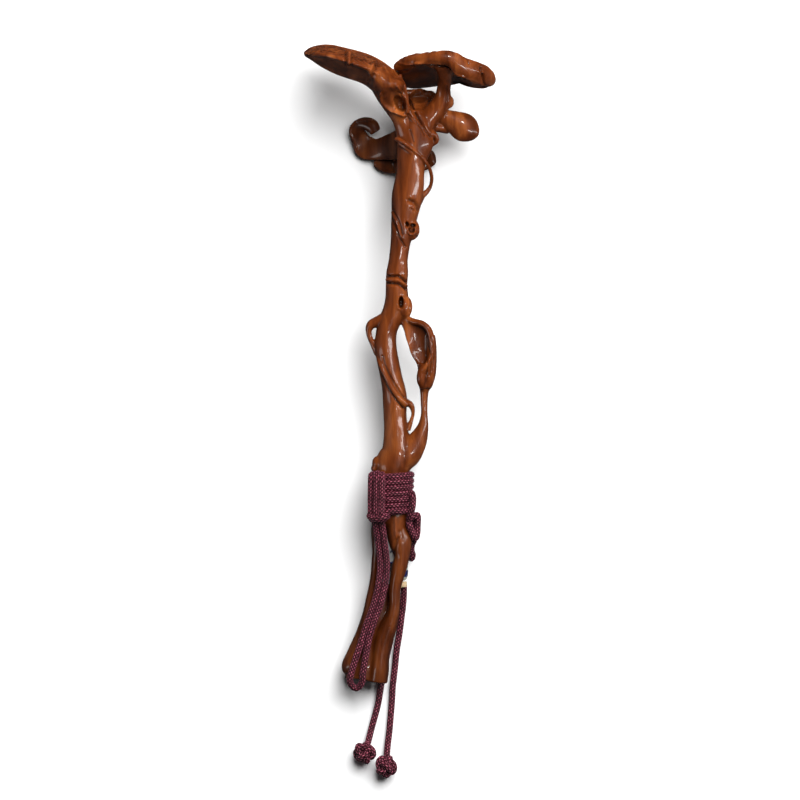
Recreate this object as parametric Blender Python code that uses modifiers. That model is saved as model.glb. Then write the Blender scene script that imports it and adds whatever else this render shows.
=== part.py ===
"""A ruyi scepter carved from one hardwood branch in the form of lingzhi fungus, bound with a braided silk cord.

Metres, +Z up. It lies on its back: +Y runs from the foot to the head, +X is its right-hand side as seen from
above, and the origin is the middle of the small flat under the foot.
"""

import math

import bmesh
import bpy
import numpy as np
from mathutils import Euler, Vector

# Driving sizes, in metres
WOOD_LENGTH = 0.400
CORD_DIAMETER = 0.0039
BUTTON_KNOT_DIAMETER = 0.0150
BEAD_DIAMETER = 0.0116
COLLAR_DIAMETER = 0.0074
TOUCHING_GAP = 0.0003

# The carving is a free form, so it is drawn on a grid of 640 steps to the wood's length
GRID = WOOD_LENGTH / 640

# How finely the carving is cut, what easing its joins takes off each side, and how many triangles it is left with
CARVING_STEP = 1.6 * GRID
EASING_LOSS = 0.4
CARVING_TRIANGLES = 4600


# Each limb of the carving is a row of sections: x, y, z of the middle, half width across the limb and half depth
STEM = (
    (25.5, 150, 34, 14, 13),
    (26, 173, 35, 15, 13.8),
    (26.5, 193, 36, 15, 14),
    (27, 198, 36.4, 16, 14.2),
    (28, 203, 36.7, 18, 14.6),
    (30, 210, 37.3, 17, 14.4),
    (32, 219, 38, 14.5, 14),
    (31, 236, 39, 12, 13),
    (30, 253, 40, 11.3, 12.5),
    (30, 268, 41, 12, 12),
    (28.7, 279, 42, 11.3, 12),
    (26, 292, 43, 10.6, 12),
    (22.6, 308, 44, 10.6, 12),
    (20.5, 322, 45, 10.6, 12),
    (21.5, 336, 45.5, 10.2, 11.5),
    (24.5, 346, 46, 10.8, 11.5),
    (29.5, 357, 46.5, 11.5, 11.5),
    (31.8, 370, 47, 11.2, 11.5),
    (31.6, 383, 47.5, 10.6, 11),
    (32.3, 396, 48, 10.6, 10.5),
    (33.3, 408, 48.5, 9.3, 9.7),
    (35, 422, 49, 9.6, 10),
    (37, 436, 49.5, 11, 11),
    (39.5, 453, 50, 13, 12),
    (41.7, 468, 50.5, 15.2, 13),
    (43.8, 481, 51, 14.9, 13),
    (45.3, 496, 51.5, 13.7, 12.5),
    (47, 510, 52, 15, 12.5),
    (50, 525, 52.5, 18, 12.5),
    (49, 538, 53, 17.5, 12),
    (49, 549, 53, 15, 10.5),
    (48, 558, 53, 9, 8),
)
SIDE_BRANCH = (
    (59.5, 282, 44, 4.6, 4.6),
    (59.2, 268, 43, 3.5, 4),
    (59.2, 253, 42, 3.4, 4.2),
    (57.5, 240, 41, 5.8, 6),
    (52, 227, 40, 10, 8.5),
    (43, 214, 39, 13, 11),
    (34, 206, 37, 12, 12),
)
RIGHT_PRONG = (
    (28, 168, 35, 14, 14),
    (30.5, 153, 34, 10.7, 13),
    (31.5, 140, 33, 10.5, 12),
    (34.2, 131, 32.5, 11.8, 11.5),
    (35.5, 123, 32, 11, 11),
    (36.5, 112, 31.5, 7.6, 10),
    (34.5, 102, 31, 7.6, 9.5),
    (32, 91, 30, 6.8, 9),
    (29.6, 78, 29, 5.7, 8.5),
    (29.3, 66, 28, 5.3, 8.5),
    (28, 54, 27, 6.2, 9),
    (24, 42, 25.5, 8, 10),
    (19, 28, 24, 9, 11),
    (15.5, 13, 22, 9, 12),
    (13.8, -2, 21, 10, 12.5),
    (12.6, -14.5, 20.5, 9.5, 11),
)
LEFT_PRONG = (
    (19, 165, 34, 8, 11),
    (17, 154, 33, 7.5, 10),
    (13.4, 142, 31, 6.8, 9.5),
    (12.5, 133, 30, 6, 8.5),
    (11.5, 118, 28, 4.1, 7.5),
    (10.5, 106, 27, 3.9, 7),
    (9, 90, 26, 3.9, 7),
    (5.5, 68, 24.5, 4.4, 7.5),
    (1.5, 50, 23, 5, 8),
    (-3.5, 32, 21.5, 6.5, 9),
    (-8.5, 16, 20, 8.5, 10.5),
    (-12.5, 3, 19.5, 10.5, 12),
    (-12.5, -5, 19.5, 8.5, 10),
)
FOOT_WEB = (
    (17.5, 85, 19, 6, 2.4),
    (17.5, 77, 18.6, 9, 3.6),
    (16.5, 66, 18.4, 9.5, 4.6),
    (14.5, 54, 19.2, 9, 5.6),
    (12, 42, 19, 9.5, 7.2),
    (9, 28, 18, 12, 9),
    (4, 13, 15.5, 16, 13.5),
    (-1, 0, 14.4, 18, 15.6),
    (-3, -12.5, 15, 17, 14),
)
NECK = (
    (44, 530, 53, 11, 10),
    (37.3, 549, 55, 10, 10),
    (32, 560, 57, 11.5, 12),
    (27, 572, 60, 14.5, 17),
    (21, 583, 63, 15, 23),
    (11, 595, 67, 12, 29),
)
LEFT_CAP_KEEL = (
    (31, 562, 59, 10, 13),
    (19, 583, 63, 12.5, 25),
    (5, 595, 67, 13, 32),
    (-12, 601, 70, 12.5, 34),
    (-27, 605, 71, 11, 30),
    (-39, 608.5, 72, 9, 22),
    (-51, 612, 72, 5.4, 12),
    (-59, 613, 72, 2, 4),
)
RIGHT_CAP_STALK = (
    (53, 532, 50, 11, 10),
    (62, 547, 50, 10, 9.5),
    (71, 558, 50, 9.5, 9),
    (77, 567, 52, 9, 8.5),
    (78.7, 578, 56, 6.7, 7),
    (79.7, 588, 62, 6.9, 7),
    (80, 597, 70, 9, 7),
    (80, 604, 77, 13, 6),
)
RIGHT_CAP_RIM = (
    (31.5, 601, 56, 3.6, 4),
    (39, 604, 68, 6, 5),
    (50, 608.3, 78, 5.6, 5),
    (63, 610, 84, 5.7, 5),
    (75, 610.6, 87, 6.4, 5),
    (87, 608.5, 87, 8, 5),
    (98, 601, 85, 10, 5),
    (110, 596, 79, 10.5, 5.5),
    (121, 590.5, 69, 9.5, 5.5),
    (126, 586, 59, 5.5, 5),
)
BACK_CAP_ROOT = ((52, 550, 50, 9, 7), (54, 560, 43, 9, 6), (54, 569, 36, 9, 5))
SMALL_CAP_NUB = ((64, 538, 46, 5, 6), (72, 541, 45, 4.8, 5.5), (79, 539.5, 43, 4.6, 5), (84, 536.5, 41, 2.8, 3.4))
BACK_STALK = (
    (42, 462, 47, 8.5, 9),
    (42, 477, 40, 9.5, 9),
    (42, 489, 31, 10, 8.5),
    (41, 499, 21, 11, 8),
    (40, 508, 12, 12, 7),
)
LEAF_RIM = (
    (42, 349, 50, 2.6, 3),
    (49, 346.5, 55, 3, 3.2),
    (57, 344.5, 58, 3, 3.2),
    (63, 339.5, 59.5, 3, 3.2),
    (66, 332, 59.5, 3, 3.4),
    (67, 322, 58.5, 2.8, 3.6),
    (66.4, 312, 57, 2.6, 4),
    (63, 304, 55.5, 2.6, 4),
    (58.5, 298, 54, 3, 4),
)
LEAF_BELLY = (
    (65.5, 333, 51, 4.6, 6),
    (66.4, 320, 49, 5, 8),
    (66, 306, 48, 5.6, 8),
    (64, 293, 47, 6.6, 7.6),
    (61, 281, 45.5, 5.6, 6),
)
LEAF_HOOK = ((60, 303, 52, 4, 4), (56.5, 295, 53, 4.2, 4), (56, 287, 52, 4, 4), (58.5, 280, 49, 3, 3))

# Each cap is a row of sections with a roll in degrees and a dish: wide half, thin half, roll, dish
LEFT_CAP = (
    (31, 580, 61, 14, 10, 92, 0),
    (20, 593, 65, 24, 9, 93, 2),
    (6, 603.5, 69, 34, 8, 94, 3),
    (-7, 609, 71, 39, 7, 94, 3),
    (-20, 613, 72, 40, 6.6, 94, 3),
    (-37, 616.5, 72, 34, 6.2, 94, 2),
    (-51, 616.5, 72, 22, 4.6, 94, 1),
    (-61, 613.5, 72, 7, 1.8, 94, 0),
)
RIGHT_CAP = (
    (32, 596, 52, 10, 3, 108, -1),
    (40, 595.5, 49, 27, 4, 109, -4),
    (53, 598, 47, 38, 4.5, 110, -6),
    (67, 601, 50, 39, 5, 110, -7),
    (81, 602.5, 55, 35, 5, 110, -7),
    (91, 604.5, 64, 23, 5, 110, -6),
    (99, 600.5, 58, 29, 5, 110, -6),
    (109, 594, 54, 30, 4.5, 110, -5),
    (120, 588.5, 52, 21, 4, 110, -3),
    (127, 586, 52, 8, 3, 110, 0),
)
BACK_CAP = (
    (37, 573, 40, 7, 4, 128, 0),
    (45, 572, 35, 13.5, 4.4, 130, -3),
    (54, 571, 33, 16.5, 4.6, 130, -4),
    (63, 571, 34, 13, 5, 130, -3),
    (69, 573, 38, 7, 4, 128, 0),
)
SMALL_CAP = (
    (76, 552, 47, 6.5, 5, 0, 0),
    (85, 548.5, 48, 9.5, 4.5, 0, -1),
    (93, 544, 49, 13.2, 4.2, 0, -3),
    (100.5, 539.5, 48, 14.4, 4.2, 0, -4),
    (106.6, 535.7, 46, 11.4, 3.8, 0, -3),
    (111.5, 533, 44, 5, 2.8, 0, 0),
)
CURLED_CAP = (
    (50, 521, 50, 10, 8, 0, 0),
    (41, 524, 37, 15.5, 8, 0, 0),
    (28, 521.6, 22, 13.4, 6, 0, 1),
    (13, 518.6, 9, 10.5, 4.8, 0, 2),
    (1, 521, 3.8, 12.2, 4.8, 0, 3),
    (-5, 529.4, 5.5, 9, 4.6, 0, 3),
    (-7.8, 538, 9.5, 8, 4.6, 0, 2),
    (-2.4, 544.2, 13.5, 6.2, 4.6, 0, 1),
    (6.2, 542.6, 16.5, 7, 4.6, 0, 0),
    (10.8, 536, 17.5, 5.4, 4, 0, 0),
)
LOW_CAP = (
    (69.5, 511, 8, 7, 3.4, 0, 1),
    (61, 509, 3.7, 10.4, 4.8, 0, 2),
    (47, 506, 6, 10.5, 5, 0, 2),
    (31, 504, 6, 9.5, 5, 0, 1),
    (19, 503.5, 5, 7.5, 4.6, 0, 1),
    (9, 505.5, 5, 3.2, 3, 0, 0),
)
LEAF = (
    (38, 349, 48, 4, 4, 0, 0),
    (44, 343, 50, 7, 3.4, 0, 2),
    (50, 336, 50, 11.5, 3.2, 0, 5),
    (55.5, 327, 48, 13.5, 3.2, 0, 7),
    (58.2, 317, 46, 12.5, 3.6, 0, 7),
    (61, 306, 45, 9.5, 5, 0, 4),
    (61.5, 296, 45, 8.5, 6, 0, 1),
    (60.5, 286, 44.5, 7.5, 5.5, 0, 0),
    (59.5, 277, 44, 4.5, 4.5, 0, 0),
)

# Vines and lips stand proud of the limbs: x, y, z of the middle and radius
VINE = (
    (31, 529, 57, 1.8),
    (36, 527, 64, 1.9),
    (46, 520, 65, 1.9),
    (56.5, 511, 61.5, 1.9),
    (63.8, 501, 55, 1.7),
    (66.6, 491.5, 49, 1.7),
    (65.8, 483, 46, 1.7),
    (62.5, 477, 45, 2.2),
    (57, 472, 46, 3),
)
EAR_TWIG = (
    (23, 350.5, 47, 7),
    (13, 346.6, 47, 5.2),
    (6.4, 343.4, 47, 4.4),
    (3.8, 338, 46.5, 3),
    (4.7, 331, 46, 2.4),
    (8, 324, 45.5, 2.6),
    (13, 314, 45, 3.4),
)
SPIRAL_VINE = (
    (13.5, 312, 48, 2.6),
    (16, 303, 52, 2.4),
    (20.5, 293, 54.3, 2.4),
    (26.5, 281, 54.2, 2.6),
    (34, 270, 52.5, 2.8),
    (41, 263, 48, 3.6),
)
TWIG_LOOP = ((39, 266, 46, 4.6), (45.6, 263, 45, 3), (48, 256, 44, 1.8), (46.8, 249, 43, 1.7), (42.5, 238, 42, 2.8))
NECK_STRAND = (
    (33.5, 592, 76, 2),
    (38, 583, 75.5, 2.4),
    (40.6, 572, 70.5, 2.6),
    (42.6, 560, 65.5, 2.6),
    (47.5, 550, 63, 2.6),
    (54, 541, 61.5, 2.4),
    (60, 533, 58, 2.2),
    (64, 525, 53, 2),
)
BACK_VINE = (
    (57, 472, 46, 3),
    (52, 462, 40, 2.8),
    (42, 450, 36.6, 2.8),
    (31, 438, 37.4, 2.8),
    (25, 426, 41, 2.6),
    (23.5, 416, 46, 2.4),
)
BURLS = (
    (47.6, 438, 55, 8, 9.5, 8),
    (50.5, 467, 52, 6.5, 6, 7),
    (42, 361, 51, 8.6, 11.5, 8.5),
    (69, 529, 52, 4.5, 7, 6),
    (12, 205, 38, 5, 7, 7),
    (9.5, 199.5, 37, 3.6, 3.6, 6),
    (84, 566, 50, 5, 6.5, 6),
    (27, 398, 38.5, 7, 9, 5),
    (18, 318, 35, 6, 9, 5),
    (34, 226, 27, 8, 10, 5),
)

# The round seat that the cord is wound on, at its lower and its upper end: x, y, z, half width, half depth
SEAT = ((25.7, 156, 34.2, 15.6, 14.2), (26.4, 193, 35.9, 16.3, 15))

# The winding: its turns of cord, where its lower end lies, how far its turns slant, how many sides it is built with
WINDING_TURNS = 7
WINDING_FOOT = 153.8
WINDING_SLANT = 0.06
WINDING_SIDES = 24
WINDING_PITCH = 0.94 * CORD_DIAMETER
WINDING_LENGTH = WINDING_TURNS * WINDING_PITCH

# Grooves cut from above: half width and depth in grid units, then the x, y places they run through
GROOVES = (
    (1.3, 1.8, ((21, 392), (27, 391.5), (33, 392), (38, 389), (42, 385))),
    (1.3, 1.8, ((21, 385), (27, 384.5), (33, 384), (38, 381.5), (42, 378))),
    (1.2, 1.6, ((26, 459), (30, 453), (33, 448), (36, 440), (37.5, 434))),
    (1.2, 1.6, ((25.5, 451), (29, 443), (31.5, 437), (35, 429), (40, 421.5))),
    (1.6, 2.2, ((45, 468), (49, 466.5), (53, 461), (54, 457))),
    (1.4, 2, ((45, 563), (51, 555), (57, 545), (62, 536), (66, 531))),
    (2, 2.4, ((-17, 611), (-17.5, 605), (-17, 600))),
    (1.6, 2.2, ((13, 602), (8, 596), (5, 589))),
)

# Knot holes and hollows pressed in from above: x, y, half width, half length, lean in degrees, depth
KNOT_HOLES = (
    (31.5, 563, 4.6, 9.5, 32, 11),
    (42.5, 444, 2.2, 3, 0, 5),
    (49, 441, 3.6, 3.4, 0, 6),
    (36, 365.5, 3, 6.5, 0, 7),
)


def clear_scene():
    for thing in list(bpy.data.objects):
        bpy.data.objects.remove(thing, do_unlink=True)


def collection_named(name):
    made = bpy.data.collections.new(name)
    bpy.context.scene.collection.children.link(made)
    return made


def plain_material(name, colour, roughness, metallic=0.0):
    made = bpy.data.materials.new(name)
    made.use_nodes = True
    shader = made.node_tree.nodes["Principled BSDF"]
    shader.inputs["Base Color"].default_value = (*colour, 1.0)
    shader.inputs["Roughness"].default_value = roughness
    shader.inputs["Metallic"].default_value = metallic
    return made


def smooth_rows(rows, steps):
    """The given rows with more between them, on one smooth curve through every column."""
    rows = np.array(rows, float)
    ends = np.vstack([2 * rows[0] - rows[1], rows, 2 * rows[-1] - rows[-2]])
    filled = []
    for before, here, after, beyond in zip(ends, ends[1:], ends[2:], ends[3:]):
        for t in np.arange(steps) / steps:
            bend = 2 * before - 5 * here + 4 * after - beyond
            twist = 3 * here - before - 3 * after + beyond
            filled.append(here + 0.5 * ((after - before) * t + bend * t**2 + twist * t**3))
    filled.append(rows[-1])
    return np.array(filled)


def framed_sections(rows):
    """For each row: its middle, the way its width runs, the way its thickness runs, and the row's other numbers."""
    middles = rows[:, :3]
    for middle, tangent, row in zip(middles, np.gradient(middles, axis=0), rows):
        along = Vector(tangent).normalized()
        across = along.cross(Vector((0, 0, 1))).normalized()
        upward = across.cross(along)
        roll = math.radians(row[5])
        wide_way = across * math.cos(roll) + upward * math.sin(roll)
        thin_way = upward * math.cos(roll) - across * math.sin(roll)
        yield Vector(middle), wide_way, thin_way, row


def sweep(bm, rows, steps=4, sides=20):
    """Adds one closed limb: an oval section carried along the rows, which hold grid units and degrees."""
    rows = smooth_rows(rows, steps)
    if rows.shape[1] == 4:
        rows = np.column_stack([rows, rows[:, 3]])
    if rows.shape[1] == 5:
        rows = np.column_stack([rows, np.zeros((len(rows), 2))])
    turn = bm.verts.layers.float.get("turn") or bm.verts.layers.float.new("turn")
    ring = bmesh.ops.create_circle(bm, segments=sides, radius=1.0, cap_ends=True)["verts"]
    edges = list(ring[0].link_faces[0].edges)
    for vert in ring:
        vert[turn] = math.atan2(vert.co.y, vert.co.x)
    for number, (middle, wide_way, thin_way, row) in enumerate(framed_sections(rows)):
        if number:
            grown = bmesh.ops.extrude_edge_only(bm, edges=edges)["geom"]
            ring = {part for part in grown if isinstance(part, bmesh.types.BMVert)}
            edges = [part for part in grown if isinstance(part, bmesh.types.BMEdge) and ring.issuperset(part.verts)]
        for vert in ring:
            share = math.cos(vert[turn])
            lift = (row[4] + EASING_LOSS) * math.sin(vert[turn]) + row[6] * share**2
            vert.co = (middle + wide_way * ((row[3] + EASING_LOSS) * share) + thin_way * lift) * GRID
    bmesh.ops.edgeloop_fill(bm, edges=edges)


def add_burl(bm, burl):
    """Adds a rounded lump: x, y, z of the middle, then its half sizes."""
    lump = bmesh.ops.create_icosphere(bm, subdivisions=3, radius=1.0)["verts"]
    middle, sizes = Vector(burl[:3]), Vector(burl[3:])
    for vert in lump:
        vert.co = (middle + vert.co * sizes) * GRID


def object_from(bm, name, collection):
    bmesh.ops.recalc_face_normals(bm, faces=bm.faces)
    mesh = bpy.data.meshes.new(name)
    bm.to_mesh(mesh)
    bm.free()
    made = bpy.data.objects.new(name, mesh)
    collection.objects.link(made)
    return made


def with_modifiers_applied(thing):
    """Swaps the object's mesh for what its modifiers make of it."""
    graph = bpy.context.evaluated_depsgraph_get()
    graph.update()
    baked = bpy.data.meshes.new_from_object(thing.evaluated_get(graph), depsgraph=graph)
    old = thing.data
    thing.modifiers.clear()
    thing.data = baked
    bpy.data.meshes.remove(old)
    return thing


def fuse(thing, step, rounds, strength=0.5):
    """Makes one skin of overlapping limbs and eases the creases where they meet."""
    union = thing.modifiers.new("One skin", "REMESH")
    union.mode = "VOXEL"
    union.voxel_size = step
    if rounds:
        ease = thing.modifiers.new("Eased joins", "SMOOTH")
        ease.factor = strength
        ease.iterations = rounds
    return with_modifiers_applied(thing)


def keep_largest_piece(thing):
    """Drops the skins of any hollow that the fusing sealed inside."""
    bm = bmesh.new()
    bm.from_mesh(thing.data)
    pieces, left = [], set(bm.verts)
    while left:
        edge_of_piece = [left.pop()]
        piece = list(edge_of_piece)
        while edge_of_piece:
            vert = edge_of_piece.pop()
            for edge in vert.link_edges:
                other = edge.other_vert(vert)
                if other in left:
                    left.remove(other)
                    piece.append(other)
                    edge_of_piece.append(other)
        pieces.append(piece)
    pieces.sort(key=len)
    for piece in pieces[:-1]:
        bmesh.ops.delete(bm, geom=piece, context="VERTS")
    bm.to_mesh(thing.data)
    bm.free()


def away_from_run(places, run):
    """How far each place is, seen from above, from a run of straight pieces."""
    nearest = np.full(len(places), np.inf)
    for start, end in zip(run, run[1:]):
        start, along = np.array(start), np.subtract(end, start)
        share = np.clip((places - start) @ along / (along @ along), 0, 1)
        nearest = np.minimum(nearest, np.linalg.norm(places - start - share[:, None] * along, axis=1))
    return nearest


def carve_from_above(thing):
    """Cuts the grooves and presses in the knot holes, on the side that faces up."""
    mesh = thing.data
    places = np.empty(len(mesh.vertices) * 3, np.float32)
    mesh.vertices.foreach_get("co", places)
    places = places.reshape(-1, 3)
    normals = np.empty(len(mesh.vertices) * 3, np.float32)
    mesh.vertices.foreach_get("normal", normals)
    normals = normals.reshape(-1, 3)
    facing = normals[:, 2] > 0.05
    seen = places[:, :2] / GRID
    for half_width, depth, run in GROOVES:
        near = np.exp(-((away_from_run(seen, run) / half_width) ** 2)) * facing
        places -= normals * (depth * GRID * near)[:, None]
    for x, y, half_width, half_length, lean, depth in KNOT_HOLES:
        away = seen - (x, y)
        cosine, sine = math.cos(math.radians(lean)), math.sin(math.radians(lean))
        share = np.hypot(
            (away[:, 0] * cosine + away[:, 1] * sine) / half_width,
            (away[:, 1] * cosine - away[:, 0] * sine) / half_length,
        )
        places[:, 2] -= np.where(facing & (share < 1), depth * (1 - share**4), 0) * GRID
    mesh.vertices.foreach_set("co", places.ravel())
    mesh.update()


def thin_to(thing, triangles):
    """Leaves about this many triangles."""
    thinning = thing.modifiers.new("Fewer triangles", "DECIMATE")
    thinning.ratio = triangles / sum(len(face.vertices) - 2 for face in thing.data.polygons)
    thinning.use_collapse_triangulate = True
    return with_modifiers_applied(thing)


def seat_section(share, out=0.0):
    """The seat's middle, half width and half depth in metres, from its lower end at 0 to its upper end at 1."""
    lower, upper = np.array(SEAT)
    section = (lower + (upper - lower) * share) * GRID
    return Vector(section[:3]), section[3] + out, section[4] + out


def wooden_seat(cutters):
    """The exact round stretch of the handle that the winding is fitted round."""
    bm = bmesh.new()
    rings = []
    for share in (0, 1):
        ring = bmesh.ops.create_circle(bm, segments=WINDING_SIDES, radius=1.0)["verts"]
        middle, half_width, half_depth = seat_section(share)
        for vert in ring:
            vert.co = middle + Vector((vert.co.x * half_width, 0, vert.co.y * half_depth))
        rings.append(list({edge for vert in ring for edge in vert.link_edges}))
    bmesh.ops.bridge_loops(bm, edges=rings[0] + rings[1])
    for ring in rings:
        bmesh.ops.edgeloop_fill(bm, edges=ring)
    return object_from(bm, "seat_under_winding", cutters)


def ring_round_seat(name, profile, gap, collection):
    """A closed ring round the seat: a profile of heights above the seat and places along the winding."""
    bm = bmesh.new()
    verts = [bm.verts.new((1 + out, 0, along)) for out, along in profile]
    for vert, after in zip(verts, verts[1:] + verts[:1]):
        bm.edges.new((vert, after))
    whole = list(bm.verts) + list(bm.edges)
    bmesh.ops.spin(bm, geom=whole, axis=(0, 0, 1), angle=math.tau, steps=WINDING_SIDES, use_merge=True)
    bmesh.ops.remove_doubles(bm, verts=bm.verts, dist=1e-6)
    seat_foot, seat_length = SEAT[0][1] * GRID, (SEAT[1][1] - SEAT[0][1]) * GRID
    for vert in bm.verts:
        height = math.hypot(vert.co.x, vert.co.y) - 1
        angle = math.atan2(vert.co.y, vert.co.x)
        along = WINDING_FOOT * GRID + vert.co.z
        along += WINDING_SLANT * math.cos(angle) * (SEAT[0][3] * GRID + height)
        middle, half_width, half_depth = seat_section((along - seat_foot) / seat_length, height + gap)
        vert.co = middle + Vector((half_width * math.cos(angle), 0, half_depth * math.sin(angle)))
    return object_from(bm, name, collection)


def room_for_winding(cutters):
    """Clears the carving's uneven skin from the stretch under the winding, down to just above the seat."""
    foot, top, high = -TOUCHING_GAP, WINDING_LENGTH + TOUCHING_GAP, 4 * CORD_DIAMETER
    profile = ((0, foot), (high, foot), (high, top), (0, top))
    return ring_round_seat("room_for_winding", profile, TOUCHING_GAP / 3, cutters)


def boolean(thing, operation, other):
    """Joins or cuts with the other object, which is only a helper."""
    other.hide_render = True
    other.display_type = "WIRE"
    step = thing.modifiers.new(f"{operation.title()} {other.name}", "BOOLEAN")
    step.operation = operation
    step.object = other
    step.solver = "EXACT"


def table_top(cutters):
    """A block below z = 0: what it takes off leaves the three small flats that the scepter lies on."""
    bm = bmesh.new()
    bmesh.ops.create_cube(bm, size=2 * WOOD_LENGTH)
    bmesh.ops.translate(bm, verts=bm.verts, vec=(0, WOOD_LENGTH / 2, -WOOD_LENGTH))
    return object_from(bm, "table_top", cutters)


def carved_branch(collection, cutters):
    bm = bmesh.new()
    for limb in (STEM, SIDE_BRANCH, RIGHT_PRONG, LEFT_PRONG, FOOT_WEB, NECK, LEFT_CAP_KEEL, RIGHT_CAP_STALK):
        sweep(bm, limb)
    for limb in (RIGHT_CAP_RIM, BACK_CAP_ROOT, SMALL_CAP_NUB, BACK_STALK, LEAF_RIM, LEAF_HOOK, LEAF_BELLY):
        sweep(bm, limb)
    for cap in (LEFT_CAP, RIGHT_CAP, BACK_CAP, SMALL_CAP, CURLED_CAP, LOW_CAP, LEAF):
        sweep(bm, cap, sides=28)
    for burl in BURLS:
        add_burl(bm, burl)
    branch = fuse(object_from(bm, "carved_branch", collection), CARVING_STEP, 5)
    bm = bmesh.new()
    bm.from_mesh(branch.data)
    for vine in (VINE, EAR_TWIG, SPIRAL_VINE, TWIG_LOOP, NECK_STRAND, BACK_VINE):
        sweep(bm, vine, sides=12)
    bm.to_mesh(branch.data)
    bm.free()
    fuse(branch, CARVING_STEP, 2)
    keep_largest_piece(branch)
    carve_from_above(branch)
    thin_to(branch, CARVING_TRIANGLES)
    boolean(branch, "UNION", wooden_seat(cutters))
    boolean(branch, "DIFFERENCE", room_for_winding(cutters))
    boolean(branch, "DIFFERENCE", table_top(cutters))
    return branch


# The strands bound over the winding and the one that crosses them. Each place is in degrees round the seat, then y,
# then how high the cord's middle is above the seat in cord diameters
BOUND_STRANDS = (
    ((137.6, 156, 1.74), (137.4, 166, 1.78), (137, 177, 1.8), (136, 187, 1.78), (132.5, 192, 1.64)),
    ((121, 155.5, 1.9), (121.2, 166, 1.92), (121.2, 177, 1.94), (120.3, 187, 1.88), (117.5, 192, 1.64)),
    ((108.6, 155.5, 1.94), (108.8, 166, 1.96), (108.6, 177, 1.96), (107.6, 186, 1.92), (104, 190.5, 1.68)),
    ((146, 152.8, 1.55), (137, 151.3, 1.8), (126, 149.8, 2.1), (114, 149.3, 2.1), (104, 150.4, 1.8), (99, 151.8, 1.57)),
)
BOUND_STRANDS_TRIANGLES = 640


def grip_winding(collection):
    """The turns of cord as one ribbed ring that clears the seat by the touching gap."""
    profile = []
    for turn in range(WINDING_TURNS):
        for place, bulge in ((0, 0.7), (0.3, 0.98), (0.7, 0.98)):
            profile.append((bulge * CORD_DIAMETER, (turn + place) * WINDING_PITCH))
    profile += [(0.7 * CORD_DIAMETER, WINDING_LENGTH), (0, WINDING_LENGTH), (0, 0)]
    return ring_round_seat("grip_winding", profile, TOUCHING_GAP, collection)


def round_cord(bm, route, steps=4):
    """Adds a closed tube of cord with rounded ends along a route in grid units."""
    rows = smooth_rows(route, steps)
    radius = CORD_DIAMETER / 2 / GRID - EASING_LOSS
    start = rows[0] + (rows[0] - rows[1]) / np.linalg.norm(rows[0] - rows[1]) * radius * 0.5
    end = rows[-1] + (rows[-1] - rows[-2]) / np.linalg.norm(rows[-1] - rows[-2]) * radius * 0.5
    radii = [radius * 0.5] + [radius] * len(rows) + [radius * 0.5]
    sweep(bm, np.column_stack([np.vstack([start, rows, end]), radii]), steps=1, sides=12)


def round_the_seat(strand):
    """The x, y, z route in grid units of a strand given by its places round the seat."""
    route = []
    for degrees, y, height in strand:
        share = (y - SEAT[0][1]) / (SEAT[1][1] - SEAT[0][1])
        middle, half_width, half_depth = seat_section(share, TOUCHING_GAP + height * CORD_DIAMETER)
        angle = math.radians(degrees)
        route.append((middle + Vector((half_width * math.cos(angle), 0, half_depth * math.sin(angle)))) / GRID)
    return route


def fused_cords(name, routes, triangles, collection):
    """Strands of cord that lie against each other, as one solid of their outer shape."""
    bm = bmesh.new()
    for route in routes:
        round_cord(bm, route)
    strands = fuse(object_from(bm, name, collection), CORD_DIAMETER / 8, 1)
    keep_largest_piece(strands)
    return thin_to(strands, triangles)


# The routes of the free stretches of cord, as x, y, z of the cord's middle in grid units
LOOP_ROUTE = (
    (10, 145.4, 51.5), (12.4, 131, 45.5), (14.6, 114, 41), (15.3, 106, 39.6), (15, 94, 38.4), (13.6, 84, 37.4),
    (11.7, 75, 36.8), (8.3, 62, 36), (6, 55.5, 35.6), (1.5, 43, 35.3), (-2.3, 30.5, 35.1), (-6.3, 18, 35.1),
    (-10.6, 5.5, 35.3), (-14.3, -7, 34.5), (-15.2, -12.5, 33), (-13.2, -17.6, 31.5), (-9, -20.2, 30.5),
    (-4.8, -17.6, 31.5), (-2.6, -12.5, 33), (-2.4, -7, 34.5), (-0.4, 5.5, 35.4), (1.9, 18, 35.7), (4.2, 30.5, 36.1),
    (8, 43, 36.7), (12.5, 55.5, 37.2), (14.9, 62, 37.6), (18.3, 75, 38.4), (20.2, 84, 39), (21.4, 94, 39.9),
    (21.7, 106, 41.1), (20.9, 114, 42.6), (18.8, 131, 47), (16.3, 145.4, 53),
)
RIGHT_TAIL_ROUTE = (
    (38.9, 79, 8.6), (38.8, 73, 6.8), (38.2, 64, 4.5), (37, 54.4, 3.4), (34.8, 37, 3.15), (31.8, 18, 3.15),
    (30, 1, 3.15), (27.9, -17, 3.15), (27, -32, 3.15), (25.8, -47, 3.15), (24.5, -62, 3.15),
    (22.8, -76, 3.8), (22, -85.4, 5.7),
)
LEFT_TAIL_ROUTE = (
    (32.4, 79, 8.6), (32.1, 72, 6.6), (31.3, 60, 4.2), (29.2, 46, 3.2), (25.8, 30, 3.15), (21.8, 12, 3.15),
    (18.8, -3, 3.15), (16.4, -16, 3.15), (13.8, -32, 3.15), (10.8, -45, 3.15), (6.6, -60, 3.6), (3.5, -72.4, 5.7),
)

# A cord gets a point after this length when it runs straight, and after this turn when it bends
STRAIGHT_STEP = 2.4 * CORD_DIAMETER
BEND_STEP = math.radians(36)

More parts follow.
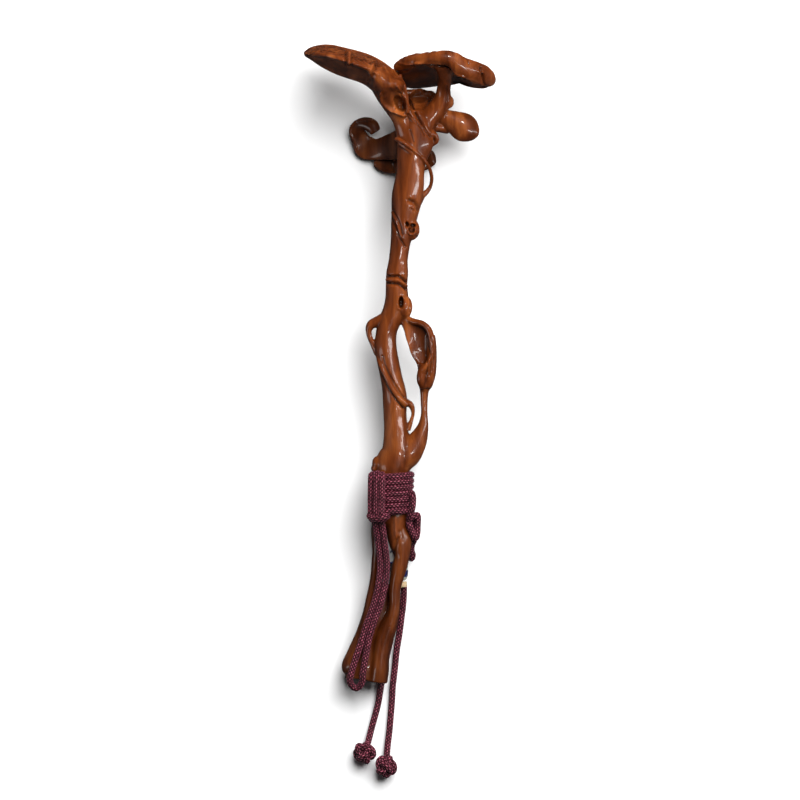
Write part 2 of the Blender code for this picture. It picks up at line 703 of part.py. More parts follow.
# The cord at the side of the grip, its knot and the bight below it, as x, y, z of the cord's middle
SIDE_KNOT_ROUTES = (
    (
        (47.4, 174.5, 50.1), (47.9, 168.5, 49.3), (47.4, 162, 49.1), (46.8, 157, 49.1), (46.2, 152.3, 47.2),
        (45.4, 148.6, 43.4),
    ),
    (
        (44.8, 147.2, 40), (46.6, 150, 43), (49.6, 151.6, 43), (52.2, 153.4, 41.5), (52.9, 150, 39.5), (52.6, 143, 38),
        (52.3, 136, 37), (51, 130.4, 36.6), (49.2, 131.6, 38.4), (47.4, 136, 40), (45.4, 142, 40.6), (44.8, 147.2, 40),
    ),
    (
        (46.5, 149.5, 34.5), (48.3, 141, 32.8), (49.6, 133, 30.5), (49, 128, 26), (46.8, 123, 20), (46.4, 117.5, 16.6),
        (47.7, 112.6, 14.4), (46, 109.4, 12), (44.2, 113.5, 10), (38.5, 122.6, 9.8), (31.4, 124.6, 9.6),
    ),
)
SIDE_KNOT_TRIANGLES = 760

# Where the bead and the collar below it begin and end, as x, y places
BEAD_ENDS = ((31.2, 118.8), (35.7, 87.2))
COLLAR_ENDS = ((35.9, 86.4), (36.3, 80.4))


def free_cord(name, route, collection):
    """A cord of its true diameter as a curve with filled ends, on points read from one smooth curve."""
    dense = smooth_rows(np.array(route, float), 24) * GRID
    steps = np.diff(dense, axis=0)
    lengths = np.linalg.norm(steps, axis=1)
    directions = steps / lengths[:, None]
    turns = np.arccos(np.clip((directions[1:] * directions[:-1]).sum(axis=1), -1, 1))
    effort = lengths / STRAIGHT_STEP + np.concatenate([[0], turns]) / BEND_STEP
    gone = np.concatenate([[0], np.cumsum(effort)])
    wanted = np.linspace(0, gone[-1], round(gone[-1]) + 1)
    points = np.column_stack([np.interp(wanted, gone, dense[:, axis]) for axis in range(3)])
    curve = bpy.data.curves.new(name, "CURVE")
    curve.dimensions = "3D"
    curve.bevel_depth = CORD_DIAMETER / 2
    curve.bevel_resolution = 2
    curve.use_fill_caps = True
    spline = curve.splines.new("POLY")
    spline.points.add(len(points) - 1)
    for point, place in zip(spline.points, points):
        point.co = (*place, 1)
    made = bpy.data.objects.new(name, curve)
    collection.objects.link(made)
    return made


# A button knot: how many times its cord goes round, how often it rises and falls, and how steeply
KNOT_ROUNDS = 3
KNOT_WAVES = 4
KNOT_RISE = math.radians(64)
KNOT_TRIANGLES = 420


def button_knot(name, x, y, lean, collection):
    """A round knot whose one cord goes over and under itself, lying on the table."""
    reach = BUTTON_KNOT_DIAMETER / 2 / GRID - CORD_DIAMETER / 2 / GRID
    rows = []
    for step in range(73):
        turn = math.tau * step / 72
        rise = KNOT_RISE * math.sin(KNOT_WAVES * turn)
        round_about = KNOT_ROUNDS * turn
        place = Vector((math.cos(rise), 0, math.sin(rise)))
        place.rotate(Euler((0, 0, round_about)))
        place.rotate(Euler(lean))
        rows.append(Vector((x, y, BUTTON_KNOT_DIAMETER / 2 / GRID)) + place * reach)
    bm = bmesh.new()
    round_cord(bm, rows, 1)
    core = (x, y, BUTTON_KNOT_DIAMETER / 2 / GRID, reach, reach, reach)
    add_burl(bm, core)
    knot = fuse(object_from(bm, name, collection), CORD_DIAMETER / 8, 1)
    keep_largest_piece(knot)
    return thin_to(knot, KNOT_TRIANGLES)


def turned_bead(name, diameter, end_share, sides, ends, collection):
    """A barrel turned about the line between its ends, which are x, y places, and lying on the table."""
    head, foot = (Vector((*end, 0)) * GRID for end in ends)
    length = (head - foot).length
    bm = bmesh.new()
    profile = [(0, -1)]
    for share in (-1, -0.86, -0.5, 0, 0.5, 0.86, 1):
        profile.append((end_share + (1 - end_share) * (1 - share**2) ** 0.5, share))
    profile.append((0, 1))
    verts = [bm.verts.new((diameter / 2 * out, 0, share * length / 2)) for out, share in profile]
    for vert, after in zip(verts, verts[1:]):
        bm.edges.new((vert, after))
    bmesh.ops.spin(
        bm, geom=list(bm.verts) + list(bm.edges), axis=(0, 0, 1), angle=math.tau, steps=sides, use_merge=True
    )
    bmesh.ops.remove_doubles(bm, verts=bm.verts, dist=1e-6)
    bead = object_from(bm, name, collection)
    bead.rotation_euler = (head - foot).to_track_quat("Z", "Y").to_euler()
    bead.location = (head + foot) / 2 + Vector((0, 0, BEAD_DIAMETER / 2))
    return bead


def main():
    clear_scene()
    scepter = collection_named("ruyi_scepter")
    cutters = collection_named("cutters")
    hardwood = plain_material("polished_hardwood", (0.19, 0.055, 0.018), 0.28)
    silk = plain_material("plum_silk", (0.075, 0.012, 0.022), 0.6)
    porcelain = plain_material("painted_porcelain", (0.55, 0.58, 0.56), 0.15)
    bone = plain_material("pale_bone", (0.6, 0.46, 0.3), 0.4)

    branch = carved_branch(scepter, cutters)
    branch.data.materials.append(hardwood)

    cords = (
        grip_winding(scepter),
        fused_cords("bound_strands", map(round_the_seat, BOUND_STRANDS), BOUND_STRANDS_TRIANGLES, scepter),
        free_cord("hanging_loop", LOOP_ROUTE, scepter),
        fused_cords("side_knot", SIDE_KNOT_ROUTES, SIDE_KNOT_TRIANGLES, scepter),
        free_cord("right_tail_cord", RIGHT_TAIL_ROUTE, scepter),
        free_cord("left_tail_cord", LEFT_TAIL_ROUTE, scepter),
        button_knot("right_button_knot", 21, -98.3, (0.9, 0.3, 0), scepter),
        button_knot("left_button_knot", -0.5, -84.6, (0.5, 0.8, 0), scepter),
    )
    for cord in cords:
        cord.data.materials.append(silk)

    bead = turned_bead("porcelain_bead", BEAD_DIAMETER, 0.45, 16, BEAD_ENDS, scepter)
    bead.data.materials.append(porcelain)
    collar = turned_bead("bone_collar", COLLAR_DIAMETER, 0.8, 12, COLLAR_ENDS, scepter)
    collar.data.materials.append(bone)


if __name__ == "__main__":
    main()
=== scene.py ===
"""A ruyi scepter carved from one hardwood branch as lingzhi fungus, its grip bound in silk cord."""

import math

import bmesh
import bpy
import numpy as np
from mathutils import Euler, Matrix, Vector, noise


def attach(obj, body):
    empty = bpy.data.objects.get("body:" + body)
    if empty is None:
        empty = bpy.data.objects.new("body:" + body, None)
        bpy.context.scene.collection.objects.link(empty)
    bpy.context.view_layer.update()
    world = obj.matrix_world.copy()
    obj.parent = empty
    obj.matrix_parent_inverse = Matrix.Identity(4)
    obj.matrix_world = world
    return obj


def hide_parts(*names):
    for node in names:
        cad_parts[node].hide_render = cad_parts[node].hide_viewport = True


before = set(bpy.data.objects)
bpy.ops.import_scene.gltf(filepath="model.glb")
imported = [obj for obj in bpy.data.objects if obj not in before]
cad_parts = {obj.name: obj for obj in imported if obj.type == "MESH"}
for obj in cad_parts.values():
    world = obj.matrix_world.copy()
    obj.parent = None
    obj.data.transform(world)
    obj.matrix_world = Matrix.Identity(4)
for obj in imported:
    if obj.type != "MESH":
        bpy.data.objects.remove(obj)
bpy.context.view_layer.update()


# The view and the light
# The scepter lies loose on a white table that is left out of its gloss, in a dark room. The camera looks
# straight down without perspective. A broad soft light comes from beyond the head, and narrow lamps draw
# the highlights.

VIEW_MIDDLE = (0.021875, 0.1675)
VIEW_WIDTH = 0.5
CAMERA_HEIGHT = 1.2
ROOM_LIGHT = 0.03
TABLE_HALF_WIDTH = 4
BELOW_THE_WOOD = 0.0002

eye = bpy.data.cameras.new("view_from_above")
eye.type = "ORTHO"
eye.ortho_scale = VIEW_WIDTH
camera = bpy.data.objects.new("view_from_above", eye)
camera.location = (*VIEW_MIDDLE, CAMERA_HEIGHT)
bpy.context.scene.collection.objects.link(camera)
bpy.context.scene.camera = camera
bpy.context.scene.view_settings.view_transform = "Standard"


def node(tree, kind, inputs=None, **settings):
    """Adds a node with these settings. An input is given a value, or the output that feeds it."""
    made = tree.nodes.new(kind)
    for name, value in settings.items():
        setattr(made, name, value)
    for name, value in (inputs or {}).items():
        if isinstance(value, bpy.types.NodeSocket):
            tree.links.new(value, made.inputs[name])
        else:
            made.inputs[name].default_value = value
    return made


def finish_of(name, **sockets):
    """A new material with these values set on its shader."""
    made = bpy.data.materials.new(name)
    made.use_nodes = True
    shader = made.node_tree.nodes["Principled BSDF"]
    for socket, value in sockets.items():
        shader.inputs[socket.replace("_", " ")].default_value = value
    return made, made.node_tree, shader


def soft_light(name, place, width, height, power, only_in_gloss=True):
    """An oval lamp aimed at the middle of the view. It either draws highlights or lights the colours."""
    lamp = bpy.data.lights.new(name, "AREA")
    lamp.shape = "ELLIPSE"
    lamp.size, lamp.size_y, lamp.energy = width, height, power
    made = bpy.data.objects.new(name, lamp)
    made.location = place
    towards = Vector((*VIEW_MIDDLE, 0)) - Vector(place)
    made.rotation_euler = towards.to_track_quat("-Z", "Y").to_euler()
    made.visible_glossy = only_in_gloss
    made.visible_diffuse = not only_in_gloss
    bpy.context.scene.collection.objects.link(made)


soft_light("broad_light_beyond_the_head", (1.2, 2.3, 3.1), 4, 4, 385, only_in_gloss=False)
soft_light("highlight_beyond_the_head", (0.3, 0.9, 1.4), 0.15, 0.15, 4)
soft_light("thin_highlight_right_of_the_middle", (0.6, 0, 1.4), 0.08, 0.42, 3)
soft_light("broad_highlight_from_the_left", (-1.5, -0.3, 0.9), 0.5, 1.3, 5)
soft_light("highlight_from_the_right", (0.8, 0.2, 0.6), 0.05, 0.9, 2)

room = bpy.data.worlds.new("dark_room")
room.use_nodes = True
room.node_tree.nodes["Background"].inputs["Color"].default_value = (1, 1, 1, 1)
room.node_tree.nodes["Background"].inputs["Strength"].default_value = ROOM_LIGHT
bpy.context.scene.world = room

bm = bmesh.new()
bmesh.ops.create_grid(bm, x_segments=1, y_segments=1, size=TABLE_HALF_WIDTH)
bmesh.ops.translate(bm, verts=bm.verts, vec=(0, 0, -BELOW_THE_WOOD))
table_mesh = bpy.data.meshes.new("white_table")
bm.to_mesh(table_mesh)
bm.free()
table = bpy.data.objects.new("white_table", table_mesh)
bpy.context.scene.collection.objects.link(table)
white, _, _ = finish_of(
    "white_table", Base_Color=(0.9, 0.9, 0.9, 1), Roughness=0.9, Specular_IOR_Level=0.1,
)
table.data.materials.append(white)
table.visible_glossy = False


# The carved branch
# One piece of dense red-brown hardwood, carved all round as a knotty lingzhi stem with caps, side branch,
# vines and knot holes, then stained, waxed and rubbed to a gloss. The limbs are swept, made one skin, eased
# and cut.

WOOD_LENGTH = 0.400
GRID = WOOD_LENGTH / 640
SKIN_STEP = 0.00043
EASING_LOSS = 0.3
LIMB_EASING = 14
VINE_EASING = 4
UNEVENNESS = 0.00022
HOLLOW_EASING = 40
WOOD_TRIANGLES = 190000
WOOD_TONES = (
    (0.28, (0.052, 0.0094, 0.0017)), (0.5, (0.15, 0.0315, 0.0057)), (0.72, (0.29, 0.0765, 0.0155)),
)

# Each limb is a row of sections in grid units: x, y, z of the middle, half width, half depth
STEM = (
    (25.5, 141, 33.5, 9, 8), (25.5, 150, 34, 13.4, 12.4), (26, 173, 35, 15, 13.8),
    (26.5, 193, 36, 15, 14), (27, 198, 36.4, 16, 14.2), (28, 203, 36.7, 18, 14.6),
    (30, 210, 37.3, 17, 14.4), (32, 219, 38, 14.5, 14), (31, 236, 39, 12, 13), (30, 253, 40, 11.3, 12.5),
    (30, 268, 41, 12, 12), (28.7, 279, 42, 11.3, 12), (26, 292, 43, 10.6, 12), (22.6, 308, 44, 10.6, 12),
    (20.5, 322, 45, 10.6, 12), (21.5, 336, 45.5, 10.2, 11.5), (24.5, 346, 46, 10.8, 11.5),
    (29.5, 357, 46.5, 11.5, 11.5), (31.8, 370, 47, 11.2, 11.5), (31.6, 383, 47.5, 10.6, 11),
    (32.3, 396, 48, 10.6, 10.5), (33.3, 408, 48.5, 9.3, 9.7), (35, 422, 49, 9.6, 10),
    (37, 436, 49.5, 11, 11), (39.5, 453, 50, 13, 12), (41.7, 468, 50.5, 15.2, 13),
    (43.8, 481, 51, 14.9, 13), (45.3, 496, 51.5, 13.7, 12.5), (47, 510, 52, 15, 12.5),
    (50, 525, 52.5, 18, 12.5), (49, 538, 53, 17.5, 12), (49, 549, 53, 15, 10.5), (48, 558, 53, 9, 8),
)
SIDE_BRANCH = (
    (59.5, 282, 44, 4.6, 4.6), (59.2, 268, 43, 3.5, 4), (59.2, 253, 42, 3.4, 4.2),
    (57.5, 240, 41, 5.8, 6), (52, 227, 40, 10, 8.5), (43, 214, 39, 13, 11), (34, 206, 37, 12, 12),
)
RIGHT_PRONG = (
    (28, 168, 35, 14, 14), (29.8, 156, 34.3, 14, 13.4), (31, 149, 33.7, 12.2, 12.8),
    (31.5, 140, 33, 10.5, 12), (34.2, 131, 32.5, 11.8, 11.5), (35.5, 123, 32, 11, 11),
    (36.5, 112, 31.5, 7.6, 10), (34.5, 102, 31, 7.6, 9.5), (32, 91, 30, 6.8, 9), (29.6, 78, 29, 5.7, 8.5),
    (29.3, 66, 28, 5.3, 8.5), (28, 54, 27, 6.2, 9), (24, 42, 25.5, 8, 10), (19, 28, 24, 9, 11),
    (15.5, 13, 22, 9, 12), (13.8, -2, 21, 10, 12.5), (12.6, -14.5, 20.5, 9.5, 11),
)
LEFT_PRONG = (
    (19, 165, 34, 8, 11), (17, 154, 33, 7.5, 10), (13.4, 142, 31, 6.8, 9.5), (12.5, 133, 30, 6, 8.5),
    (11.5, 118, 28, 4.1, 7.5), (10.5, 106, 27, 3.9, 7), (9, 90, 26, 3.9, 7), (5.5, 68, 24.5, 4.4, 7.5),
    (1.5, 50, 23, 5, 8), (-3.5, 32, 21.5, 6.5, 9), (-8.5, 16, 20, 8.5, 10.5), (-12.5, 3, 19.5, 10.5, 12),
    (-12.5, -5, 19.5, 8.5, 10),
)
FOOT_WEB = (
    (17.5, 85, 19, 6, 2.4), (17.5, 77, 18.6, 9, 3.6), (16.5, 66, 18.4, 9.5, 4.6),
    (14.5, 54, 19.2, 9, 5.6), (12, 42, 19, 9.5, 7.2), (9, 28, 18, 12, 9), (4, 13, 15.5, 16, 13.5),
    (-1, 0, 14.4, 18, 15.6), (-3, -12.5, 15, 17, 14),
)
NECK = (
    (44, 530, 53, 11, 10), (37.3, 549, 55, 10, 10), (32, 560, 57, 11.5, 12), (27, 572, 60, 14.5, 17),
    (21, 583, 63, 15, 23), (11, 595, 67, 12, 29),
)
LEFT_CAP_KEEL = (
    (31, 562, 59, 10, 13), (19, 583, 63, 12.5, 25), (5, 595, 67, 13, 32), (-12, 601, 70, 12.5, 34),
    (-27, 605, 71, 11, 30), (-39, 608.5, 72, 9, 22), (-51, 612, 72, 5.4, 12), (-59, 613, 72, 2, 4),
)
RIGHT_CAP_STALK = (
    (53, 532, 50, 11, 10), (62, 547, 50, 10, 9.5), (71, 558, 50, 9.5, 9), (77, 567, 52, 9, 8.5),
    (78.7, 578, 56, 6.7, 7), (79.7, 588, 62, 6.9, 7), (80, 597, 70, 9, 7), (80, 604, 77, 13, 6),
)
RIGHT_CAP_RIM = (
    (31.5, 601, 56, 3.6, 4), (39, 604, 68, 6, 5), (50, 608.3, 78, 5.6, 5), (63, 610, 84, 5.7, 5),
    (75, 610.6, 87, 6.4, 5), (87, 608.5, 87, 8, 5), (98, 601, 85, 10, 5), (110, 596, 79, 10.5, 5.5),
    (121, 590.5, 69, 9.5, 5.5), (126, 586, 59, 5.5, 5),
)
BACK_CAP_ROOT = ((52, 550, 50, 9, 7), (54, 560, 41, 9, 6), (54, 569, 31, 9, 5))
SMALL_CAP_NUB = (
    (64, 538, 46, 5, 6), (72, 541, 45, 4.8, 5.5), (79, 539.5, 43, 4.6, 5), (84, 536.5, 41, 2.8, 3.4),
)
BACK_STALK = (
    (42, 462, 47, 8.5, 9), (42, 477, 40, 9.5, 9), (42, 489, 31, 10, 8.5), (41, 499, 21, 11, 8),
    (40, 508, 12, 12, 7),
)
LEAF_RIM = (
    (42, 349, 50, 2.6, 3), (49, 346.5, 55, 3, 3.2), (57, 344.5, 58, 3, 3.2), (63, 339.5, 59.5, 3, 3.2),
    (66, 332, 59.5, 3, 3.4), (67, 322, 58.5, 2.8, 3.6), (66.4, 312, 57, 2.6, 4), (63, 304, 55.5, 2.6, 4),
    (58.5, 298, 54, 3, 4),
)
LEAF_BELLY = (
    (65.5, 333, 51, 4.6, 6), (66.4, 320, 49, 5, 8), (66, 306, 48, 5.6, 8), (64, 293, 47, 6.6, 7.6),
    (61, 281, 45.5, 5.6, 6),
)
LEAF_HOOK = ((60, 303, 52, 4, 4), (56.5, 295, 53, 4.2, 4), (56, 287, 52, 4, 4), (58.5, 280, 49, 3, 3))

# Each cap is a row of wider, thinner sections, with a roll in degrees and a dish added
LEFT_CAP = (
    (31, 580, 61, 14, 10, 92, 0), (20, 593, 65, 24, 9, 93, 2), (6, 603.5, 69, 34, 8, 94, 3),
    (-7, 609, 71, 39, 7, 94, 3), (-20, 613, 72, 40, 6.6, 94, 3), (-37, 616.5, 72, 34, 6.2, 94, 2),
    (-51, 616.5, 72, 22, 4.6, 94, 1), (-61, 613.5, 72, 7, 1.8, 94, 0),
)
RIGHT_CAP = (
    (32, 596, 52, 10, 3, 108, -1), (40, 595.5, 49, 27, 4, 109, -4), (53, 598, 47, 38, 4.5, 110, -6),
    (67, 601, 50, 39, 5, 110, -7), (81, 602.5, 55, 35, 5, 110, -7), (91, 604.5, 64, 23, 5, 110, -6),
    (99, 600.5, 58, 29, 5, 110, -6), (109, 594, 54, 30, 4.5, 110, -5), (120, 588.5, 52, 21, 4, 110, -3),
    (127, 586, 52, 8, 3, 110, 0),
)
BACK_CAP = (
    (37, 573, 36, 7, 4, 128, 0), (45, 572, 29, 13.5, 4.4, 130, -3), (54, 571, 26, 16.5, 4.6, 130, -4),
    (63, 571, 27, 13, 5, 130, -3), (69, 573, 31, 7, 4, 128, 0),
)
SMALL_CAP = (
    (76, 552, 47, 6.5, 5, 0, 0), (85, 548.5, 48, 9.5, 4.5, 0, -1), (93, 544, 49, 13.2, 4.4, 0, -3),
    (98.5, 540.8, 49, 14.4, 4.4, 0, -3), (103, 538.2, 48.6, 13.6, 4.3, 0, -2.6),
    (107, 535.8, 47.8, 11.4, 4.1, 0, -2), (110, 534.1, 46.9, 8.4, 3.6, 0, -1.4),
    (112, 533, 46.2, 5.2, 2.8, 0, -0.6), (113.2, 532.3, 45.8, 1, 1, 0, 0),
)
CURLED_CAP = (
    (50, 521, 50, 10, 8, 0, 0), (41, 524, 37, 15.5, 8, 0, 0), (28, 521.6, 22, 13.4, 6, 0, 1),
    (13, 518.6, 9, 10.5, 4.8, 0, 2), (1, 521, 3.8, 12.2, 4.8, 0, 3), (-5, 529.4, 5.5, 9, 4.6, 0, 3),
    (-7.8, 538, 9.5, 8, 4.6, 0, 2), (-2.4, 544.2, 13.5, 6.2, 4.6, 0, 1), (6.2, 542.6, 16.5, 7, 4.6, 0, 0),
    (10.8, 536, 17.5, 5.4, 4, 0, 0),
)
LOW_CAP = (
    (69.5, 511, 8, 7, 3.4, 0, 1), (61, 509, 3.7, 10.4, 4.8, 0, 2), (47, 506, 6, 10.5, 5, 0, 2),
    (31, 504, 6, 9.5, 5, 0, 1), (19, 503.5, 5, 7.5, 4.6, 0, 1), (9, 505.5, 5, 3.2, 3, 0, 0),
)
LEAF = (
    (38, 349, 48, 4, 4, 0, 0), (44, 343, 50, 7, 3.4, 0, 2), (50, 336, 50, 11.5, 3.2, 0, 5),
    (55.5, 327, 48, 13.5, 3.2, 0, 7), (58.2, 317, 46, 12.5, 3.6, 0, 7), (61, 306, 45, 9.5, 5, 0, 4),
    (61.5, 296, 45, 8.5, 6, 0, 1), (60.5, 286, 44.5, 7.5, 5.5, 0, 0), (59.5, 277, 44, 4.5, 4.5, 0, 0),
)

# Vines and lips that stand proud of the limbs: x, y, z of the middle and radius
VINE = (
    (31, 529, 57, 1.8), (36, 527, 64, 1.7), (46, 520, 65, 1.6), (56.5, 511, 61.5, 1.6),
    (63.8, 501, 55, 1.5), (66.6, 491.5, 49, 1.5), (65.8, 483, 46, 1.6), (62.5, 477, 45, 2.2),
    (57, 472, 46, 3),
)
INNER_VINE = (
    (34, 525, 61.5, 1.3), (44, 517, 64, 1.3), (52, 509, 62.3, 1.3), (56.4, 502.5, 58.5, 1.1),
    (57.2, 496, 53, 0.7),
)
EAR_TWIG = (
    (23, 350.5, 47, 7), (13, 346.6, 47, 5.2), (6.4, 343.4, 47, 4.4), (3.8, 338, 46.5, 3),
    (4.7, 331, 46, 2.4), (8, 324, 45.5, 2.6), (13, 314, 45, 3.4),
)
SPIRAL_VINE = (
    (13.5, 312, 48, 2.6), (16, 303, 52, 2.4), (20.5, 293, 54.3, 2.4), (26.5, 281, 54.2, 2.6),
    (34, 270, 52.5, 2.8), (41, 263, 48, 3.6),
)
TWIG_LOOP = (
    (39, 266, 46, 4.6), (45.6, 263, 45, 3), (48, 256, 44, 1.8), (46.8, 249, 43, 1.7),
    (42.5, 238, 42, 2.8),
)
NECK_STRAND = (
    (33.5, 592, 76, 2), (38, 583, 75.5, 2.4), (40.6, 572, 70.5, 2.6), (42.6, 560, 65.5, 2.6),
    (47.5, 550, 63, 2.6), (54, 541, 61.5, 2.4), (60, 533, 58, 2.2), (64, 525, 53, 2),
)
BACK_VINE = (
    (57, 472, 46, 3), (52, 462, 40, 2.8), (42, 450, 36.6, 2.8), (34, 438, 37.4, 2.8),
    (29.6, 426, 41, 2.6), (28.4, 416, 45, 2.4),
)
EAR_LOBE = (
    (61, 537, 53, 4), (66.5, 535, 53.5, 3.4), (70.6, 531.5, 52.5, 2.6), (71.4, 527, 51, 2.2),
    (67, 523.6, 50, 2.2),
)
BURLS = (
    (46.2, 438.5, 53, 8.6, 11, 7), (50.5, 467, 52, 6.5, 6, 7), (39.6, 361, 50.6, 7.8, 11.8, 8.4),
    (29, 583.5, 71, 11, 8.4, 16.5), (12, 205, 38, 5, 7, 7), (9.5, 199.5, 37, 3.6, 3.6, 6),
    (84, 566, 50, 5, 6.5, 6), (31, 398, 38.5, 6, 9, 5), (18, 318, 35, 6, 9, 5), (34, 226, 27, 8, 10, 5),
)

# The round stretch that the cord is wound on, at its lower and upper end: x, y, z, half width, half depth
SEAT = ((25.7, 156, 34.2, 15.6, 14.2), (26.4, 193, 35.9, 16.3, 15))

# Cuts made from above: half width, depth (a ridge where it is below zero), and the x, y places on their run
CUTS = (
    (1.4, 2.5, ((20, 392), (27, 391.5), (33, 392), (38, 389), (43, 385))),
    (1.4, 2.5, ((20, 385), (27, 384.5), (33, 384), (38, 381.5), (43, 378))),
    (1.3, -0.8, ((20, 388.5), (27, 388), (33, 388), (38, 385), (43, 381.5))),
    (1.1, 1.5, ((25.5, 461), (30, 453), (33, 448), (36, 440), (37.5, 434))),
    (1.1, 1.6, ((25.5, 453), (29, 443), (31.5, 437), (35, 429), (40, 421.5))),
    (1.2, -0.9, ((27, 456), (31, 447), (34, 439), (37, 430))),
    (2, 2.4, ((44.5, 467.5), (49, 465.5), (52.4, 461.5), (53.4, 457.5))),
    (0.8, 0.7, ((46, 459), (49, 457.5), (51, 459))),
    (1.2, 2, ((45, 563), (51, 555), (57, 545), (62, 536), (66, 531))),
    (0.9, 0.9, ((43, 554), (51, 546), (57, 539), (60, 533))),
    (1.3, 1.5, ((-12.6, 615), (-13.4, 608), (-13.6, 602))),
    (1.3, 1.3, ((-19, 615), (-19.4, 608), (-19.4, 603))),
    (1.8, -1.6, ((-15.6, 615), (-16.2, 608), (-16.2, 601.5))),
    (2.3, 2.4, ((15, 604), (11, 597), (7.5, 590), (7, 586))),
    (1.6, -1.6, ((9, 606), (6, 599), (3.4, 592), (2.8, 588))),
    (1.1, -1.1, ((14, 601.5), (22, 600), (30, 596.5), (37, 591.5))),
    (1.4, -2.4, ((15.4, 574), (17, 568), (20.6, 563), (26, 558.6), (32, 555.2), (38, 552.3))),
    (1.2, -2, ((32, 582), (36.5, 576), (40.8, 570), (42.6, 563), (42.6, 556), (40.5, 552.8))),
    (1, 1.4, ((45.5, 566), (48, 560), (52, 552), (57, 544))),
    (1.3, 2.4, ((115.5, 600), (117.5, 593), (119.5, 583))),
    (
        0.9, -1.1,
        ((33, 605.4), (42, 603.4), (52, 604.6), (66, 604.6), (75, 604), (84, 599), (92, 593), (99, 591)),
    ),
    (
        0.9, -1,
        ((6, 547.2), (-1.5, 548.2), (-9.5, 546.4), (-14, 541), (-14.6, 534.4), (-10.6, 526), (-8, 520)),
    ),
    (0.7, 0.9, ((65.6, 330), (68.6, 320), (69.2, 308), (67.8, 297))),
    (0.7, 0.9, ((63, 322), (65.8, 313), (66.2, 303), (64.6, 292))),
    (0.7, 0.8, ((60.8, 312), (62.6, 304), (62, 293))),
    (0.8, -1.3, ((43.2, 437), (44.6, 434.2), (47.6, 433.4), (50.4, 435.6))),
    (0.9, 1.2, ((45, 538), (47.4, 530), (48.5, 526))),
    (0.8, 1.3, ((12.4, 302), (17, 291.5), (23, 279.4), (31, 267.6), (38, 259.8))),
    (0.8, 1.3, ((17.2, 312), (19.6, 303), (24.2, 294), (30.2, 283.4), (36.6, 274), (42.4, 268))),
    (1.7, 1.5, ((33, 130), (31, 125), (29.4, 119), (28, 113))),
    (1.2, -1.1, ((30.4, 150), (30.8, 140), (31.6, 130))),
    (2.4, 1.2, ((35.5, 136), (37.5, 130))),
    (0.9, 1.2, ((44.6, 371), (45.6, 364), (44.4, 356))),
    (0.8, -0.9, ((33.6, 371), (32.8, 365), (33.6, 359))),
    (0.8, 0.9, ((82, 582), (83, 574), (83, 567))),
    (1, 1.2, ((99, 611), (103, 608), (104, 604))),
)

# Knot holes and hollows pressed in from above: x, y, half width, half length, lean in degrees, depth
KNOT_HOLES = (
    (26.5, 569, 9, 13, 34, 4), (34.6, 564.6, 5.4, 9.6, 27, 9), (42.2, 443.6, 2, 3, 15, 4.5),
    (47.8, 442.4, 3.2, 2.4, 0, 6), (46.6, 438, 3.6, 3.4, 0, 5), (52, 431.3, 2.2, 1.7, 20, 3.4),
    (36, 365.5, 3, 6.5, 0, 7), (57, 573, 12, 8, 20, 4.5), (97, 586, 11, 4.6, -16, 6),
)

# A face planed away to the near side, downwards from this line of x, y, z: how far it reaches, how steep
PLANED_REACH = 26
PLANED_SLOPE = 1.9
PLANED_FROM = (
    (-58, 613.5, 82), (-49, 611.2, 85), (-38.4, 610, 95), (-28, 608.2, 101), (-19.5, 605.8, 103.5),
    (-12, 603.2, 104.5), (-3.3, 599.8, 101.5), (3.7, 596.3, 101), (9, 592, 108),
)

# Where the cap's weathered upper face shows, as runs of x, y with a half width, and how deep its lines are
WEATHERED = (
    (3.6, ((-57, 614.5), (-49, 618), (-39, 619.4), (-29, 617.9), (-21, 615.2))),
    (4, ((-11, 612.6), (-3, 610.8), (5, 608), (10, 605))),
)
WEATHERED_DEPTH = 0.9

# The growth lines on the far faces of the big caps: their pitch and depth, and where the caps begin
GROWTH_PITCH = 6.5
GROWTH_DEPTH = 0.4
CAPS_BEGIN = 586


def smooth_rows(rows, steps):
    """The given rows with more between them, on one smooth curve through every column."""
    rows = np.array(rows, float)
    ends = np.vstack([2 * rows[0] - rows[1], rows, 2 * rows[-1] - rows[-2]])
    filled = []
    for before, here, after, beyond in zip(ends, ends[1:], ends[2:], ends[3:]):
        for t in np.arange(steps) / steps:
            bend = 2 * before - 5 * here + 4 * after - beyond
            twist = 3 * here - before - 3 * after + beyond
            filled.append(here + 0.5 * ((after - before) * t + bend * t**2 + twist * t**3))
    filled.append(rows[-1])
    return np.array(filled)


def read_points(mesh, what="co"):
    """The mesh's vertex places, or their normals, as rows of three numbers."""
    values = np.empty(len(mesh.vertices) * 3, np.float32)
    mesh.vertices.foreach_get(what, values)
    return values.reshape(-1, 3).astype(float)


def write_points(mesh, places):
    """Moves the mesh's vertices to these places."""
    mesh.vertices.foreach_set("co", places.astype(np.float32).ravel())
    mesh.update()


def flat_sheet(steps_along, steps_across):
    """A square sheet to be rolled up, with the place of each vertex on it from 0 to 1 along and across."""
    sheet = bmesh.new()
    bmesh.ops.create_grid(sheet, x_segments=steps_along, y_segments=steps_across, size=0.5)
    mesh = bpy.data.meshes.new("sheet")
    sheet.to_mesh(mesh)
    sheet.free()
    return mesh, read_points(mesh) + 0.5


def close_the_roll(mesh):
    """Joins the long edges of a rolled-up sheet, closes its ends and turns its faces outwards."""
    roll = bmesh.new()
    roll.from_mesh(mesh)
    bmesh.ops.remove_doubles(roll, verts=roll.verts, dist=1e-7)
    bmesh.ops.holes_fill(roll, edges=[edge for edge in roll.edges if edge.is_boundary])
    bmesh.ops.recalc_face_normals(roll, faces=roll.faces)
    roll.to_mesh(mesh)
    roll.free()


